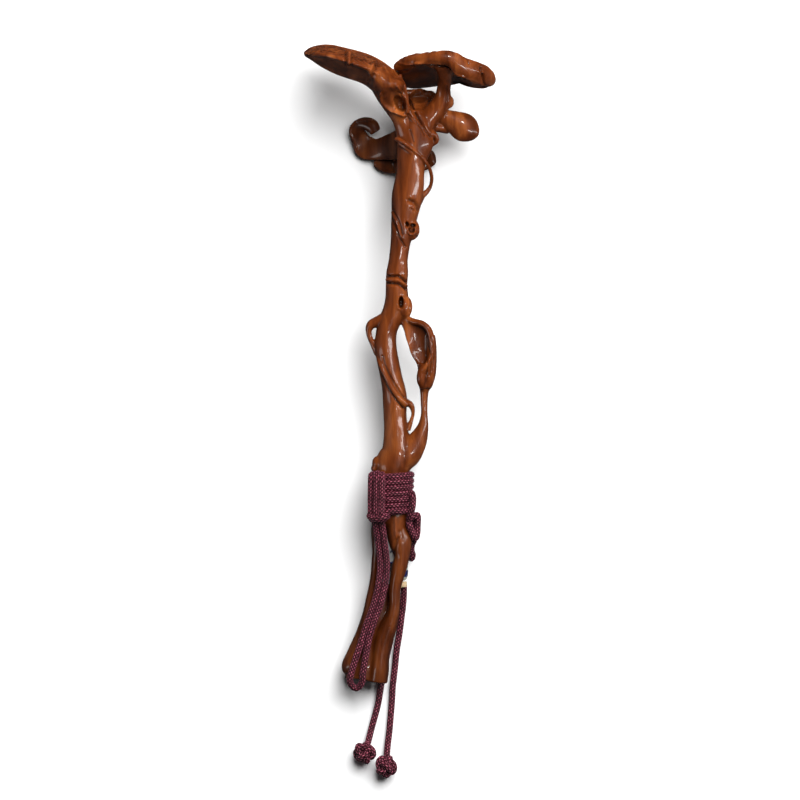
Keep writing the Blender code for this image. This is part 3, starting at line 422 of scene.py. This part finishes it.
def add_limb(bm, rows, steps=6, sides=28):
    """Adds one closed limb: a sheet rolled up along the rows into an oval section."""
    rows = smooth_rows(rows, steps)
    if rows.shape[1] == 4:
        rows = np.column_stack([rows, rows[:, 3]])
    if rows.shape[1] == 5:
        rows = np.column_stack([rows, np.zeros((len(rows), 2))])
    along = np.gradient(rows[:, :3], axis=0)
    along /= np.linalg.norm(along, axis=1)[:, None]
    across = np.cross(along, (0, 0, 1))
    across /= np.linalg.norm(across, axis=1)[:, None]
    upward = np.cross(across, along)
    roll = np.radians(rows[:, 5])[:, None]
    wide_way = across * np.cos(roll) + upward * np.sin(roll)
    thin_way = upward * np.cos(roll) - across * np.sin(roll)
    mesh, flat = flat_sheet(len(rows) - 1, sides)
    number = np.rint(flat[:, 0] * (len(rows) - 1)).astype(int)
    share, height = np.cos(flat[:, 1] * math.tau), np.sin(flat[:, 1] * math.tau)
    section = rows[number]
    out = ((section[:, 3] + EASING_LOSS) * share)[:, None]
    lift = ((section[:, 4] + EASING_LOSS) * height + section[:, 6] * share**2)[:, None]
    write_points(mesh, (section[:, :3] + wide_way[number] * out + thin_way[number] * lift) * GRID)
    close_the_roll(mesh)
    bm.from_mesh(mesh)
    bpy.data.meshes.remove(mesh)


def object_from(bm, name):
    """Turns the finished bmesh into an object with smooth faces that point outwards."""
    bmesh.ops.recalc_face_normals(bm, faces=bm.faces)
    for face in bm.faces:
        face.smooth = True
    mesh = bpy.data.meshes.new(name)
    bm.to_mesh(mesh)
    bm.free()
    made = bpy.data.objects.new(name, mesh)
    bpy.context.scene.collection.objects.link(made)
    return made


def with_modifiers_applied(thing):
    """Swaps the object's mesh for what its modifiers make of it."""
    graph = bpy.context.evaluated_depsgraph_get()
    graph.update()
    baked = bpy.data.meshes.new_from_object(thing.evaluated_get(graph), depsgraph=graph)
    old = thing.data
    thing.modifiers.clear()
    thing.data = baked
    bpy.data.meshes.remove(old)
    return thing


def one_skin(thing, step, rounds):
    """Makes one skin of overlapping limbs and eases the creases where they meet."""
    union = thing.modifiers.new("One skin", "REMESH")
    union.mode = "VOXEL"
    union.voxel_size = step
    ease = thing.modifiers.new("Eased joins", "SMOOTH")
    ease.factor = 0.5
    ease.iterations = rounds
    return with_modifiers_applied(thing)


def keep_largest_piece(bm):
    """Drops the skins of any hollow that was sealed inside."""
    pieces, left = [], set(bm.verts)
    while left:
        edge_of_piece = [left.pop()]
        piece = list(edge_of_piece)
        while edge_of_piece:
            for edge in edge_of_piece.pop().link_edges:
                for other in edge.verts:
                    if other in left:
                        left.remove(other)
                        piece.append(other)
                        edge_of_piece.append(other)
        pieces.append(piece)
    pieces.sort(key=len)
    for piece in pieces[:-1]:
        bmesh.ops.delete(bm, geom=piece, context="VERTS")


def away_from_run(places, run):
    """How far each place is, seen from above, from a run of straight pieces."""
    nearest = np.full(len(places), np.inf)
    for start, end in zip(run, run[1:]):
        start, along = np.array(start), np.subtract(end, start)
        share = np.clip((places - start) @ along / (along @ along), 0, 1)
        away = np.linalg.norm(places - start - share[:, None] * along, axis=1)
        nearest = np.minimum(nearest, away)
    return nearest


bm = bmesh.new()
for limb in (
    STEM, SIDE_BRANCH, RIGHT_PRONG, LEFT_PRONG, FOOT_WEB, NECK, LEFT_CAP_KEEL, RIGHT_CAP_STALK,
    RIGHT_CAP_RIM, BACK_CAP_ROOT, SMALL_CAP_NUB, BACK_STALK, LEAF_RIM, LEAF_HOOK, LEAF_BELLY,
):
    add_limb(bm, limb)
for cap in (LEFT_CAP, RIGHT_CAP, BACK_CAP, SMALL_CAP, CURLED_CAP, LOW_CAP, LEAF):
    add_limb(bm, cap, sides=40)
for burl in BURLS:
    for vert in bmesh.ops.create_icosphere(bm, subdivisions=4, radius=1.0)["verts"]:
        vert.co = (Vector(burl[:3]) + vert.co * Vector(burl[3:])) * GRID
branch = one_skin(object_from(bm, "carved_wood"), SKIN_STEP, LIMB_EASING)

bm = bmesh.new()
bm.from_mesh(branch.data)
for vine in (VINE, INNER_VINE, EAR_TWIG, SPIRAL_VINE, TWIG_LOOP, NECK_STRAND, EAR_LOBE, BACK_VINE):
    add_limb(bm, vine, sides=16)
bm.to_mesh(branch.data)
bm.free()
one_skin(branch, SKIN_STEP, VINE_EASING)

bm = bmesh.new()
bm.from_mesh(branch.data)
keep_largest_piece(bm)
bm.to_mesh(branch.data)
bm.free()

# The cuts and the knot holes. Only what faces upwards is cut, and facing runs from 0 to 1 there.
places = read_points(branch.data)
normals = read_points(branch.data, "normal")
facing = np.clip((normals[:, 2] - 0.02) / 0.15, 0, 1)
seen = places[:, :2] / GRID
for half_width, depth, run in CUTS:
    near = np.exp(-((away_from_run(seen, run) / half_width) ** 2)) * facing
    places -= normals * (depth * GRID * near)[:, None]
for x, y, half_width, half_length, lean, depth in KNOT_HOLES:
    away = seen - (x, y)
    cosine, sine = math.cos(math.radians(lean)), math.sin(math.radians(lean))
    share = np.hypot(
        (away[:, 0] * cosine + away[:, 1] * sine) / half_width,
        (away[:, 1] * cosine - away[:, 0] * sine) / half_length,
    )
    places[:, 2] -= np.where((facing > 0) & (share < 1), depth * (1 - share**4), 0) * GRID

# The planed underside of the left cap, and the broken lines where its weathered upper face shows
planed = np.array(PLANED_FROM, float)
below = np.interp(seen[:, 0], planed[:, 0], planed[:, 1]) - seen[:, 1]
slope_top = (np.interp(seen[:, 0], planed[:, 0], planed[:, 2]) - PLANED_SLOPE * below) * GRID
on_slope = (below > 0) & (below < PLANED_REACH) & (facing > 0)
on_slope &= (seen[:, 0] > planed[0, 0]) & (seen[:, 0] < planed[-1, 0])
places[on_slope, 2] = np.minimum(places[on_slope, 2], slope_top[on_slope])
weathered = np.zeros(len(places))
for half_width, run in WEATHERED:
    within = np.clip(2.4 - 2.2 * away_from_run(seen, run) / half_width, 0, 1)
    weathered = np.maximum(weathered, within * facing)
for number in np.flatnonzero(weathered):
    x, y = seen[number]
    growth = noise.noise(Vector((x * 0.14, y * 0.95 + x * 0.06, 0)))
    growth = growth + 0.5 * noise.noise(Vector((x * 0.6, y * 0.9, 5)))
    places[number] -= normals[number] * GRID * WEATHERED_DEPTH * weathered[number] * (0.4 + growth)

# The growth lines on the caps' far faces, and the slight unevenness that the gouge leaves everywhere
uneven = np.array([noise.noise(Vector(place) * 90) for place in places])
far_face = np.clip((normals[:, 1] - 0.45) / 0.3, 0, 1) * (seen[:, 1] > CAPS_BEGIN) * (1 - weathered)
line_place = (places[:, 2] + 0.35 * np.abs(places[:, 0] - 0.02)) / GRID / GROWTH_PITCH + 0.7 * uneven
places += normals * (GROWTH_DEPTH * GRID * far_face * np.sin(math.tau * line_place))[:, None]
places += normals * (uneven * UNEVENNESS)[:, None]

# Under the winding the wood stays below the cord, and what lies on the table is flat there
along = (places[:, 1] / GRID - SEAT[0][1]) / (SEAT[1][1] - SEAT[0][1])
lower, upper = np.array(SEAT)
section = lower + (upper - lower) * along[:, None]
offset = places / GRID - section[:, :3]
reach = np.hypot(offset[:, 0] / section[:, 3], offset[:, 2] / section[:, 4])
under_cord = (along > -0.03) & (along < 1.02) & (reach > 1)
drawn_in = section[:, :3] + offset / reach[:, None] * (1, 0, 1) + offset * (0, 1, 0)
places[under_cord] = drawn_in[under_cord] * GRID
places[:, 2] = np.maximum(places[:, 2], 0)
write_points(branch.data, places)

# How hollow each spot is, for the darkening in the cuts, partly stain and partly painted shade, and the
# lighter ridges
eased = branch.copy()
eased.data = branch.data.copy()
bpy.context.scene.collection.objects.link(eased)
ease = eased.modifiers.new("Eased", "SMOOTH")
ease.iterations = HOLLOW_EASING
with_modifiers_applied(eased)
raised = read_points(eased.data) - places
hollow = (raised * read_points(branch.data, "normal")).sum(axis=1) / GRID
bpy.data.objects.remove(eased)
stain_and_shade_attribute = branch.data.attributes.new("hollow", "FLOAT", "POINT")
stain_and_shade_attribute.data.foreach_set("value", hollow.astype(np.float32))
bare = branch.data.attributes.new("weathered", "FLOAT", "POINT")
bare.data.foreach_set("value", weathered.astype(np.float32))

thinning = branch.modifiers.new("Fewer triangles", "DECIMATE")
thinning.ratio = min(1, WOOD_TRIANGLES / sum(len(face.vertices) - 2 for face in branch.data.polygons))
with_modifiers_applied(branch)
for face in branch.data.polygons:
    face.use_smooth = True


def reckoned(tree, operation, *values):
    """An output that gives this operation on the values."""
    return node(tree, "ShaderNodeMath", dict(enumerate(values)), operation=operation).outputs[0]


def shaded(tree, colour, amount):
    """An output that gives the colour made darker or lighter by this amount."""
    return node(tree, "ShaderNodeVectorMath", {0: colour, "Scale": amount}, operation="SCALE").outputs[0]


def ranged(tree, value, low, high, at_low, at_high):
    """An output that goes from one end value to the other as the value goes from low to high."""
    ends = {"From Min": low, "From Max": high, "To Min": at_low, "To Max": at_high}
    return node(tree, "ShaderNodeMapRange", {"Value": value, **ends}).outputs[0]


def toned(tree, value, stops, blend="LINEAR"):
    """An output that gives the colour of these stops at the value. Each stop is a place and its colour."""
    ramp = node(tree, "ShaderNodeValToRGB", {"Fac": value})
    ramp.color_ramp.interpolation = blend
    first, *between, last = stops
    for element, (place, colour) in zip(ramp.color_ramp.elements, (first, last)):
        element.position = place
        element.color = (*colour, 1)
    for place, colour in between:
        ramp.color_ramp.elements.new(place).color = (*colour, 1)
    return ramp.outputs["Color"]


def patterned(tree, kind, where, stretch, **inputs):
    """The output of a texture of this kind, stretched along each axis."""
    spread = node(tree, "ShaderNodeMapping", {"Vector": where, "Scale": stretch}).outputs[0]
    return node(tree, kind, {"Vector": spread, "Scale": 1, **inputs}).outputs[0]


hardwood, tree, shader = finish_of(
    "polished_hardwood", Coat_Weight=0.5, Coat_Roughness=0.07, Specular_IOR_Level=0.25,
)
where = node(tree, "ShaderNodeTexCoord").outputs["Object"]
figure = patterned(tree, "ShaderNodeTexNoise", where, (110, 16, 110), Detail=6, Distortion=0.8)
pores = patterned(tree, "ShaderNodeTexNoise", where, (1800, 110, 1800), Detail=3)
grained = shaded(tree, toned(tree, figure, WOOD_TONES), ranged(tree, pores, 0.35, 0.6, 0.78, 1.05))
# Darker in the hollows, partly stain and partly painted shade, and lighter on the ridges
depth = node(tree, "ShaderNodeAttribute", attribute_name="hollow").outputs["Fac"]
hollows_stained_and_shaded = shaded(tree, grained, ranged(tree, depth, -0.5, 1.1, 1.15, 0.22))

# Darker low down as painted shade, and lined on the weathered face
height = node(tree, "ShaderNodeSeparateXYZ", {"Vector": where}).outputs["Z"]
painted_shade_low_down = shaded(tree, hollows_stained_and_shaded, ranged(tree, height, 0.018, 0.034, 0.5, 1))
growth = patterned(tree, "ShaderNodeTexNoise", where, (260, 2300, 700), Detail=4)
line = ranged(tree, growth, 0.4, 0.62, -0.7, 0.35)
bare = node(tree, "ShaderNodeAttribute", attribute_name="weathered").outputs["Fac"]
lined = shaded(tree, painted_shade_low_down, reckoned(tree, "MULTIPLY_ADD", line, bare, 1))
tree.links.new(lined, shader.inputs["Base Color"])
tree.links.new(ranged(tree, figure, 0.3, 0.7, 0.3, 0.4), shader.inputs["Roughness"])
relief = node(tree, "ShaderNodeBump", {"Height": pores, "Strength": 0.12, "Distance": 0.0002})
tree.links.new(relief.outputs[0], shader.inputs["Normal"])
branch.data.materials.clear()
branch.data.materials.append(hardwood)
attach(branch, "root")
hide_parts("carved_branch")


# The winding on the grip
# Plum silk cord, a round braid of 3.9 mm, wound seven times round the grip so that each turn lies against
# the next. Its ends are pushed under the neighbouring turns.

CORD_DIAMETER = 0.0039
TOUCHING_GAP = 0.0003
WINDING_TURNS = 7
WINDING_PITCH = 0.93 * CORD_DIAMETER
WINDING_FOOT = 153.8
WINDING_START = 205
WINDING_THICKENING = 1.05
# The silk's tones run from painted shade between the stitches, through the plum of the silk, to a painted
# pink sheen on the crowns
SILK_SHADE_PLUM_AND_SHEEN = ((0.3, (0.012, 0.001, 0.002)), (0.64, (0.07, 0.008, 0.0165)), (1, (0.42, 0.115, 0.165)))

# The braid: its strands show as columns of slanted stitches that meet in Vs
BRAID_COLUMNS = 10
BRAID_STITCH = 0.0021
BRAID_SLANT = 0.6
BRAID_RELIEF = 0.00034
RINGS_PER_STITCH = 6
SIDES_PER_COLUMN = 3


def even_line(points, step):
    """The points again, at this distance from each other along their line."""
    gone = np.concatenate([[0], np.cumsum(np.linalg.norm(np.diff(points, axis=0), axis=1))])
    wanted = np.linspace(0, gone[-1], max(2, round(gone[-1] / step) + 1))
    return np.column_stack([np.interp(wanted, gone, points[:, axis]) for axis in range(3)])


def carried_frame(line):
    """Two directions across the line at each point, carried along it without twisting."""
    tangents = np.gradient(line, axis=0)
    tangents /= np.linalg.norm(tangents, axis=1)[:, None]
    side = np.cross(tangents[0], (0, 0, 1) if abs(tangents[0][2]) < 0.9 else (1, 0, 0))
    sides = []
    for tangent in tangents:
        side = side - tangent * (side @ tangent)
        side = side / np.linalg.norm(side)
        sides.append(side)
    sides = np.array(sides)
    return sides, np.cross(tangents, sides)


def braided_cord(line, diameter):
    """A mesh of cord along a line of points: a sheet with its stitches in relief, rolled up."""
    line = even_line(np.array(line, float), BRAID_STITCH / RINGS_PER_STITCH)
    first, second = carried_frame(line)
    mesh, flat = flat_sheet(len(line) - 1, BRAID_COLUMNS * SIDES_PER_COLUMN)
    ring, column = flat[:, 0] * (len(line) - 1), flat[:, 1] * BRAID_COLUMNS
    stitch = np.rint(ring) / RINGS_PER_STITCH
    staggered = stitch + 0.5 * (np.floor(column + 1e-6) % 2)
    zigzag = (np.abs(column % 2 - 1) - 0.5) * BRAID_SLANT * RINGS_PER_STITCH
    place = np.clip(ring + zigzag, 0, len(line) - 1)
    crown = np.sin(math.pi * (staggered % 1)) ** 0.7 * np.abs(np.sin(math.pi * column)) ** 0.4
    radius = diameter / 2 + BRAID_RELIEF * (crown - 0.6)
    angle = column * math.tau / BRAID_COLUMNS
    number = np.arange(len(line))
    laid = np.zeros_like(flat)
    for axis in range(3):
        out = np.interp(place, number, first[:, axis]) * np.cos(angle)
        out += np.interp(place, number, second[:, axis]) * np.sin(angle)
        laid[:, axis] = np.interp(place, number, line[:, axis]) + out * radius
    corners = np.empty(len(mesh.loops), np.int32)
    mesh.loops.foreach_get("vertex_index", corners)
    uv = mesh.uv_layers.new(name="braid")
    uv.data.foreach_set("uv", np.column_stack([column, stitch])[corners].astype(np.float32).ravel())
    write_points(mesh, laid)
    close_the_roll(mesh)
    return mesh


def seat_section(share, out=0.0):
    """The seat's middle, half width and half depth in metres, at this share of the way up it."""
    section = (np.array(SEAT[0]) + (np.array(SEAT[1]) - SEAT[0]) * share) * GRID
    return section[:3], section[3] + out, section[4] + out


def round_the_seat(places):
    """A line from places round the seat: degrees, y in grid units and height in cord diameters."""
    line = []
    for degrees, y, height in places:
        share = (y - SEAT[0][1]) / (SEAT[1][1] - SEAT[0][1])
        middle, half_width, half_depth = seat_section(share, TOUCHING_GAP + height * CORD_DIAMETER)
        angle = math.radians(degrees)
        out = (half_width * math.cos(angle), 0, half_depth * math.sin(angle))
        line.append(middle + np.array(out))
    return np.array(line)


silk, tree, shader = finish_of(
    "plum_silk", Roughness=0.55, Specular_IOR_Level=0.25, Sheen_Weight=0.1, Sheen_Roughness=0.4,
    Sheen_Tint=(0.9, 0.35, 0.55, 1),
)
stitches = node(tree, "ShaderNodeUVMap", uv_map="braid").outputs[0]
spot = node(tree, "ShaderNodeSeparateXYZ", {"Vector": stitches}).outputs
column = reckoned(tree, "FLOOR", spot["X"])
odd_column = reckoned(tree, "MODULO", column, 2)
staggered = reckoned(tree, "MULTIPLY_ADD", odd_column, 0.5, spot["Y"])
cell = node(tree, "ShaderNodeCombineXYZ", {"X": column, "Y": reckoned(tree, "FLOOR", staggered)}).outputs[0]
chance = node(tree, "ShaderNodeTexWhiteNoise", {"Vector": cell}, noise_dimensions="2D").outputs["Value"]
crown = reckoned(tree, "SINE", reckoned(tree, "MULTIPLY", staggered, math.pi))
ridge = reckoned(tree, "SINE", reckoned(tree, "MULTIPLY", spot["X"], math.pi))
height = reckoned(tree, "ABSOLUTE", reckoned(tree, "MULTIPLY", crown, ridge))
# Each stitch is coloured by how high it stands: painted shade in the gaps, plum silk, and a painted sheen
# on the crown
coloured = shaded(tree, toned(tree, height, SILK_SHADE_PLUM_AND_SHEEN), ranged(tree, chance, 0, 1, 0.5, 1.5))
tree.links.new(coloured, shader.inputs["Base Color"])
threads = reckoned(tree, "SINE", reckoned(tree, "MULTIPLY", staggered, 5 * math.tau))
relief = node(tree, "ShaderNodeBump", {"Height": threads, "Strength": 0.25, "Distance": 0.00005}).outputs[0]
tree.links.new(relief, shader.inputs["Normal"])


def cord_piece(name, lines, *nodes, diameter=CORD_DIAMETER):
    """Lengths of cord along these lines as one piece, its silk, and the solids that it stands for."""
    bm = bmesh.new()
    for line in lines:
        bm.from_mesh(braided_cord(line, diameter))
    made = object_from(bm, name)
    made.data.materials.append(silk)
    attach(made, "root")
    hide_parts(*nodes)
    return made


# Clockwise from the lower left, so that each turn rises to the right across the front
turns = np.linspace(0, 1, 700)
degrees = WINDING_START - 360 * (WINDING_TURNS + 0.1) * turns
pitch = WINDING_PITCH / GRID
gone_round = (WINDING_START - degrees) / 360
heights = WINDING_FOOT + pitch * (gone_round + 0.12) + 0.5 * np.cos(np.radians(degrees))
dip = np.clip(np.maximum(1 - turns * 28, 1 - (1 - turns) * 28), 0, 1)
winding_line = round_the_seat(zip(degrees, heights, 0.5 - 0.9 * dip**2))
winding_diameter = WINDING_THICKENING * CORD_DIAMETER
cord_piece("winding_on_the_grip", [winding_line], "grip_winding", diameter=winding_diameter)


# The strands bound over the winding
# The same cord, three strands side by side over the left of the winding, held at their foot by a strand
# that crosses them and ends behind them.

BOUND_STRANDS = (
    (
        (146, 148, 1.1), (139.5, 151.5, 1.5), (137.6, 156, 1.74), (137.4, 166, 1.78), (137, 177, 1.8),
        (137, 186, 1.76), (141, 190.3, 1.5), (149, 193, 1), (155, 194, 0.4),
    ),
    (
        (122, 146.5, 1.4), (121, 150, 1.65), (121, 155.5, 1.9), (121.2, 166, 1.92), (121.2, 177, 1.94),
        (121, 186, 1.86), (123.5, 190.6, 1.6), (129.5, 193.8, 1.05), (134, 194.6, 0.4),
    ),
    (
        (107, 146.5, 1.4), (108, 150, 1.65), (108.6, 155.5, 1.94), (108.8, 166, 1.96), (108.6, 177, 1.96),
        (109, 185.5, 1.9), (111, 189.6, 1.6), (114.5, 192.6, 1.05), (118, 193.6, 0.4),
    ),
    (
        (152, 154, 0.9), (146, 152.8, 1.45), (137, 151.1, 1.9), (126, 149.5, 2.15), (114, 149.2, 2.15),
        (104, 150.4, 1.85), (100.5, 151.4, 1.35), (99, 151.8, 0.7),
    ),
)

strand_lines = [smooth_rows(round_the_seat(strand), 12) for strand in BOUND_STRANDS]
cord_piece("bound_strands_over_winding", strand_lines, "bound_strands")


# The hanging loop
# The free end of the cord: it leaves from under the crossing strand, hangs to just below the foot, turns
# back and returns beside itself. It is limp and lies where it fell.

LOOP_ROUTE = (
    (9.4, 150.4, 50), (10.2, 145.2, 50.8), (12.4, 131, 45.5), (14.6, 114, 41), (15.3, 106, 39.6),
    (15, 94, 38.4), (13.6, 84, 37.4), (11.7, 75, 36.8), (8.3, 62, 36), (6, 55.5, 35.6), (1.5, 43, 35.3),
    (-2.3, 30.5, 35.1), (-6.3, 18, 35.1), (-10.6, 5.5, 35.3), (-14.3, -7, 34.5), (-15.2, -12.5, 33),
    (-13.2, -17.6, 31.5), (-9, -20.2, 30.5), (-4.8, -17.6, 31.5), (-2.6, -12.5, 33), (-2.4, -7, 34.5),
    (-0.4, 5.5, 35.4), (1.9, 18, 35.7), (4.2, 30.5, 36.1), (8, 43, 36.7), (12.5, 55.5, 37.2),
    (14.9, 62, 37.6), (18.3, 75, 38.4), (20.2, 84, 39), (21.4, 94, 39.9), (21.7, 106, 41.1),
    (20.9, 114, 42.6), (18.8, 131, 47), (16.6, 145.2, 51.6), (15.8, 150.4, 50.6),
)


loop_line = smooth_rows(LOOP_ROUTE, 16) * GRID
loop = cord_piece("hanging_loop_of_cord", [loop_line], "hanging_loop")


# The knot at the side of the grip
# The cord comes down the right side of the winding, is knotted into a long ring, and passes in a bight
# behind the right half of the split foot to the bead.

SIDE_KNOT_ROUTES = (
    (
        (45.6, 175.5, 43), (47, 174.4, 47), (47.9, 171.5, 49.4), (48.1, 167, 49.4), (47.6, 161.5, 49.1),
        (46.6, 157, 49), (45.4, 152.6, 47), (44.2, 149, 43.4),
    ),
    (
        (43.6, 148.4, 41), (46, 150.6, 44), (49.4, 152, 44), (52.3, 153, 41.5), (53, 149, 39.5),
        (52.6, 143, 38), (52.4, 136, 37), (51, 130.2, 36.6), (49, 131.6, 38.4), (46.8, 136.5, 40.4),
        (44.6, 142, 41.6), (43.6, 148.4, 41),
    ),
    (
        (46.5, 149.5, 34.5), (48.3, 141, 32.8), (49.6, 133, 30.5), (49, 128, 26), (46.8, 123, 20),
        (46.4, 117.5, 16.6), (47.7, 112.6, 14.4), (46, 109.4, 12), (44.2, 113.5, 10), (38.5, 122.6, 9.8),
        (31.4, 124.6, 9.6),
    ),
)

knot_lines = [smooth_rows(route, 12) * GRID for route in SIDE_KNOT_ROUTES]
cord_piece("knot_beside_the_grip", knot_lines, "side_knot")


# The bead
# A tubular porcelain bead, pale glaze with plain painted blue bands, threaded on the cord behind the right
# half of the foot. It is turned here about its own length and laid on the table.

BEAD_DIAMETER = 0.0116
BEAD_ENDS = ((31.2, 118.8), (35.7, 87.2))
GLAZE_BANDS = (
    (0, (0.42, 0.42, 0.36)), (0.1, (0.4, 0.41, 0.36)), (0.14, (0.01, 0.012, 0.07)),
    (0.3, (0.012, 0.014, 0.08)), (0.35, (0.6, 0.62, 0.58)), (0.54, (0.6, 0.62, 0.58)),
    (0.58, (0.02, 0.03, 0.14)), (0.64, (0.02, 0.03, 0.14)), (0.68, (0.7, 0.72, 0.7)),
    (0.9, (0.7, 0.72, 0.7)), (1, (0.02, 0.03, 0.14)),
)


def turned_piece(name, diameter, profile, ends):
    """A turned piece on the table. Its profile holds shares of its radius and of its half length."""
    head, foot = (Vector((*end, 0)) * GRID for end in ends)
    half_length = (head - foot).length / 2
    bm = bmesh.new()
    verts = [bm.verts.new((diameter / 2 * out, 0, share * half_length)) for out, share in profile]
    for vert, after in zip(verts, verts[1:] + verts[:1]):
        bm.edges.new((vert, after))
    whole = list(bm.verts) + list(bm.edges)
    bmesh.ops.spin(bm, geom=whole, axis=(0, 0, 1), angle=math.tau, steps=64, use_merge=True)
    bmesh.ops.remove_doubles(bm, verts=bm.verts, dist=1e-6)
    uv = bm.loops.layers.uv.new("turned")
    for face in bm.faces:
        for loop in face.loops:
            spot = loop.vert.co
            loop[uv].uv = (math.atan2(spot.y, spot.x) / math.tau, spot.z / half_length / 2 + 0.5)
    for vert in bm.verts:
        vert.co.rotate((head - foot).to_track_quat("Z", "Y"))
    bmesh.ops.translate(bm, verts=bm.verts, vec=(head + foot) / 2 + Vector((0, 0, BEAD_DIAMETER / 2)))
    return object_from(bm, name)


bead_profile = [(0.3, -0.97), (0.3, 0.97)]
for step in range(25):
    share = 1 - step / 12
    bead_profile.append((0.45 + 0.55 * math.sqrt(max(0, 1 - share**2)), share))
bead = turned_piece("painted_bead", BEAD_DIAMETER, bead_profile, BEAD_ENDS)

# Bands round the bead with a wandering edge, and painted shade darkening the side that faces left
glaze, tree, shader = finish_of(
    "blue_and_white_glaze", Roughness=0.12, Coat_Weight=0.6, Coat_Roughness=0.05,
)
spot = node(tree, "ShaderNodeUVMap", uv_map="turned").outputs[0]
wander = node(tree, "ShaderNodeTexNoise", {"Vector": spot, "Scale": 9, "Detail": 2}).outputs[0]
place_on_bead = node(tree, "ShaderNodeSeparateXYZ", {"Vector": spot}).outputs
drawn = reckoned(tree, "MULTIPLY_ADD", wander, 0.05, place_on_bead["Y"])
beside = reckoned(tree, "LESS_THAN", reckoned(tree, "ABSOLUTE", place_on_bead["X"]), 0.15)
painted_shade_on_left = reckoned(tree, "MULTIPLY", beside, reckoned(tree, "LESS_THAN", drawn, 0.62))
bands = toned(tree, drawn, GLAZE_BANDS, blend="EASE")
coloured = shaded(tree, bands, ranged(tree, painted_shade_on_left, 0, 1, 1, 0.06))
tree.links.new(coloured, shader.inputs["Base Color"])
bead.data.materials.append(glaze)
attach(bead, "root")
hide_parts("porcelain_bead")


# The collar below the bead
# A short tan ring of bone that keeps the bead from sliding down on the two tails of the cord.

COLLAR_DIAMETER = 0.0074
COLLAR_ENDS = ((35.9, 86.4), (36.3, 80.4))
COLLAR_HOLE = [(0.35, -0.95), (0.35, 0.95)]
COLLAR_OUTSIDE = [(0.8, 1), (0.93, 0.92), (1, 0.6), (0.97, 0.1)]
BONE_TONES = ((0.3, (0.38, 0.26, 0.13)), (0.7, (0.58, 0.44, 0.27)))

collar_profile = COLLAR_HOLE + COLLAR_OUTSIDE + [(out, -share) for out, share in reversed(COLLAR_OUTSIDE)]
collar = turned_piece("collar_below_the_bead", COLLAR_DIAMETER, collar_profile, COLLAR_ENDS)
bone, tree, shader = finish_of("pale_bone", Roughness=0.38, Subsurface_Weight=0.1, Subsurface_Scale=0.002)
where = node(tree, "ShaderNodeTexCoord").outputs["Object"]
growth = node(tree, "ShaderNodeTexNoise", {"Vector": where, "Scale": 900, "Detail": 4}).outputs[0]
tree.links.new(toned(tree, growth, BONE_TONES), shader.inputs["Base Color"])
collar.data.materials.append(bone)
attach(collar, "root")
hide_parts("bone_collar")


# The two tails
# The two ends of the cord run from the collar down past the foot and lie on the table. Each ends in a
# round button knot tied in the same cord.

RIGHT_TAIL_ROUTE = (
    (38.7, 82, 9), (38.9, 79, 8.4), (38.8, 73, 6.8), (38.2, 64, 4.5), (37, 54.4, 3.4), (34.8, 37, 3.15),
    (31.8, 18, 3.15), (30, 1, 3.15), (27.9, -17, 3.15), (27, -32, 3.15), (25.8, -47, 3.15),
    (24.5, -62, 3.15), (22.8, -76, 3.8), (22, -85.4, 5.9), (21.6, -89.6, 8),
)
LEFT_TAIL_ROUTE = (
    (33, 82, 9), (32.4, 79, 8.4), (32.1, 72, 6.6), (31.3, 60, 4.2), (29.2, 46, 3.2), (25.8, 30, 3.15),
    (21.8, 12, 3.15), (18.8, -3, 3.15), (16.4, -16, 3.15), (13.8, -32, 3.15), (10.8, -45, 3.15),
    (6.6, -60, 3.6), (3.5, -72.4, 5.9), (2.2, -76.6, 8),
)

# The button knots that end the tails: x, y and how each has rolled
BUTTON_KNOT_DIAMETER = 0.0150
KNOT_ROUNDS = 3
KNOT_WAVES = 4
KNOT_RISE = math.radians(58)
OVER_AND_UNDER = 0.0009
BUTTON_KNOTS = {"right": (21, -98.3, (0.9, 0.3, 0)), "left": (-0.5, -84.6, (0.5, 0.8, 0))}

for side, route in (("right", RIGHT_TAIL_ROUTE), ("left", LEFT_TAIL_ROUTE)):
    x, y, lean = BUTTON_KNOTS[side]
    middle = np.array((x, y, BUTTON_KNOT_DIAMETER / 2 / GRID)) * GRID
    reach = BUTTON_KNOT_DIAMETER / 2 - CORD_DIAMETER / 2
    turn = np.linspace(0, math.tau, 400)
    rise = KNOT_RISE * np.sin(KNOT_WAVES * turn)
    out = reach - OVER_AND_UNDER * (1 + np.sin(2 * KNOT_WAVES * turn))
    ball = np.column_stack([
        np.cos(rise) * np.cos(KNOT_ROUNDS * turn), np.cos(rise) * np.sin(KNOT_ROUNDS * turn), np.sin(rise),
    ])
    ball = ball @ np.array(Euler(lean).to_matrix()).T
    knot = cord_piece(f"{side}_knot_of_cord", [middle + ball * out[:, None]], f"{side}_button_knot")

    tail_line = smooth_rows(route, 16) * GRID
    tail = cord_piece(f"{side}_tail_of_cord", [tail_line], f"{side}_tail_cord")
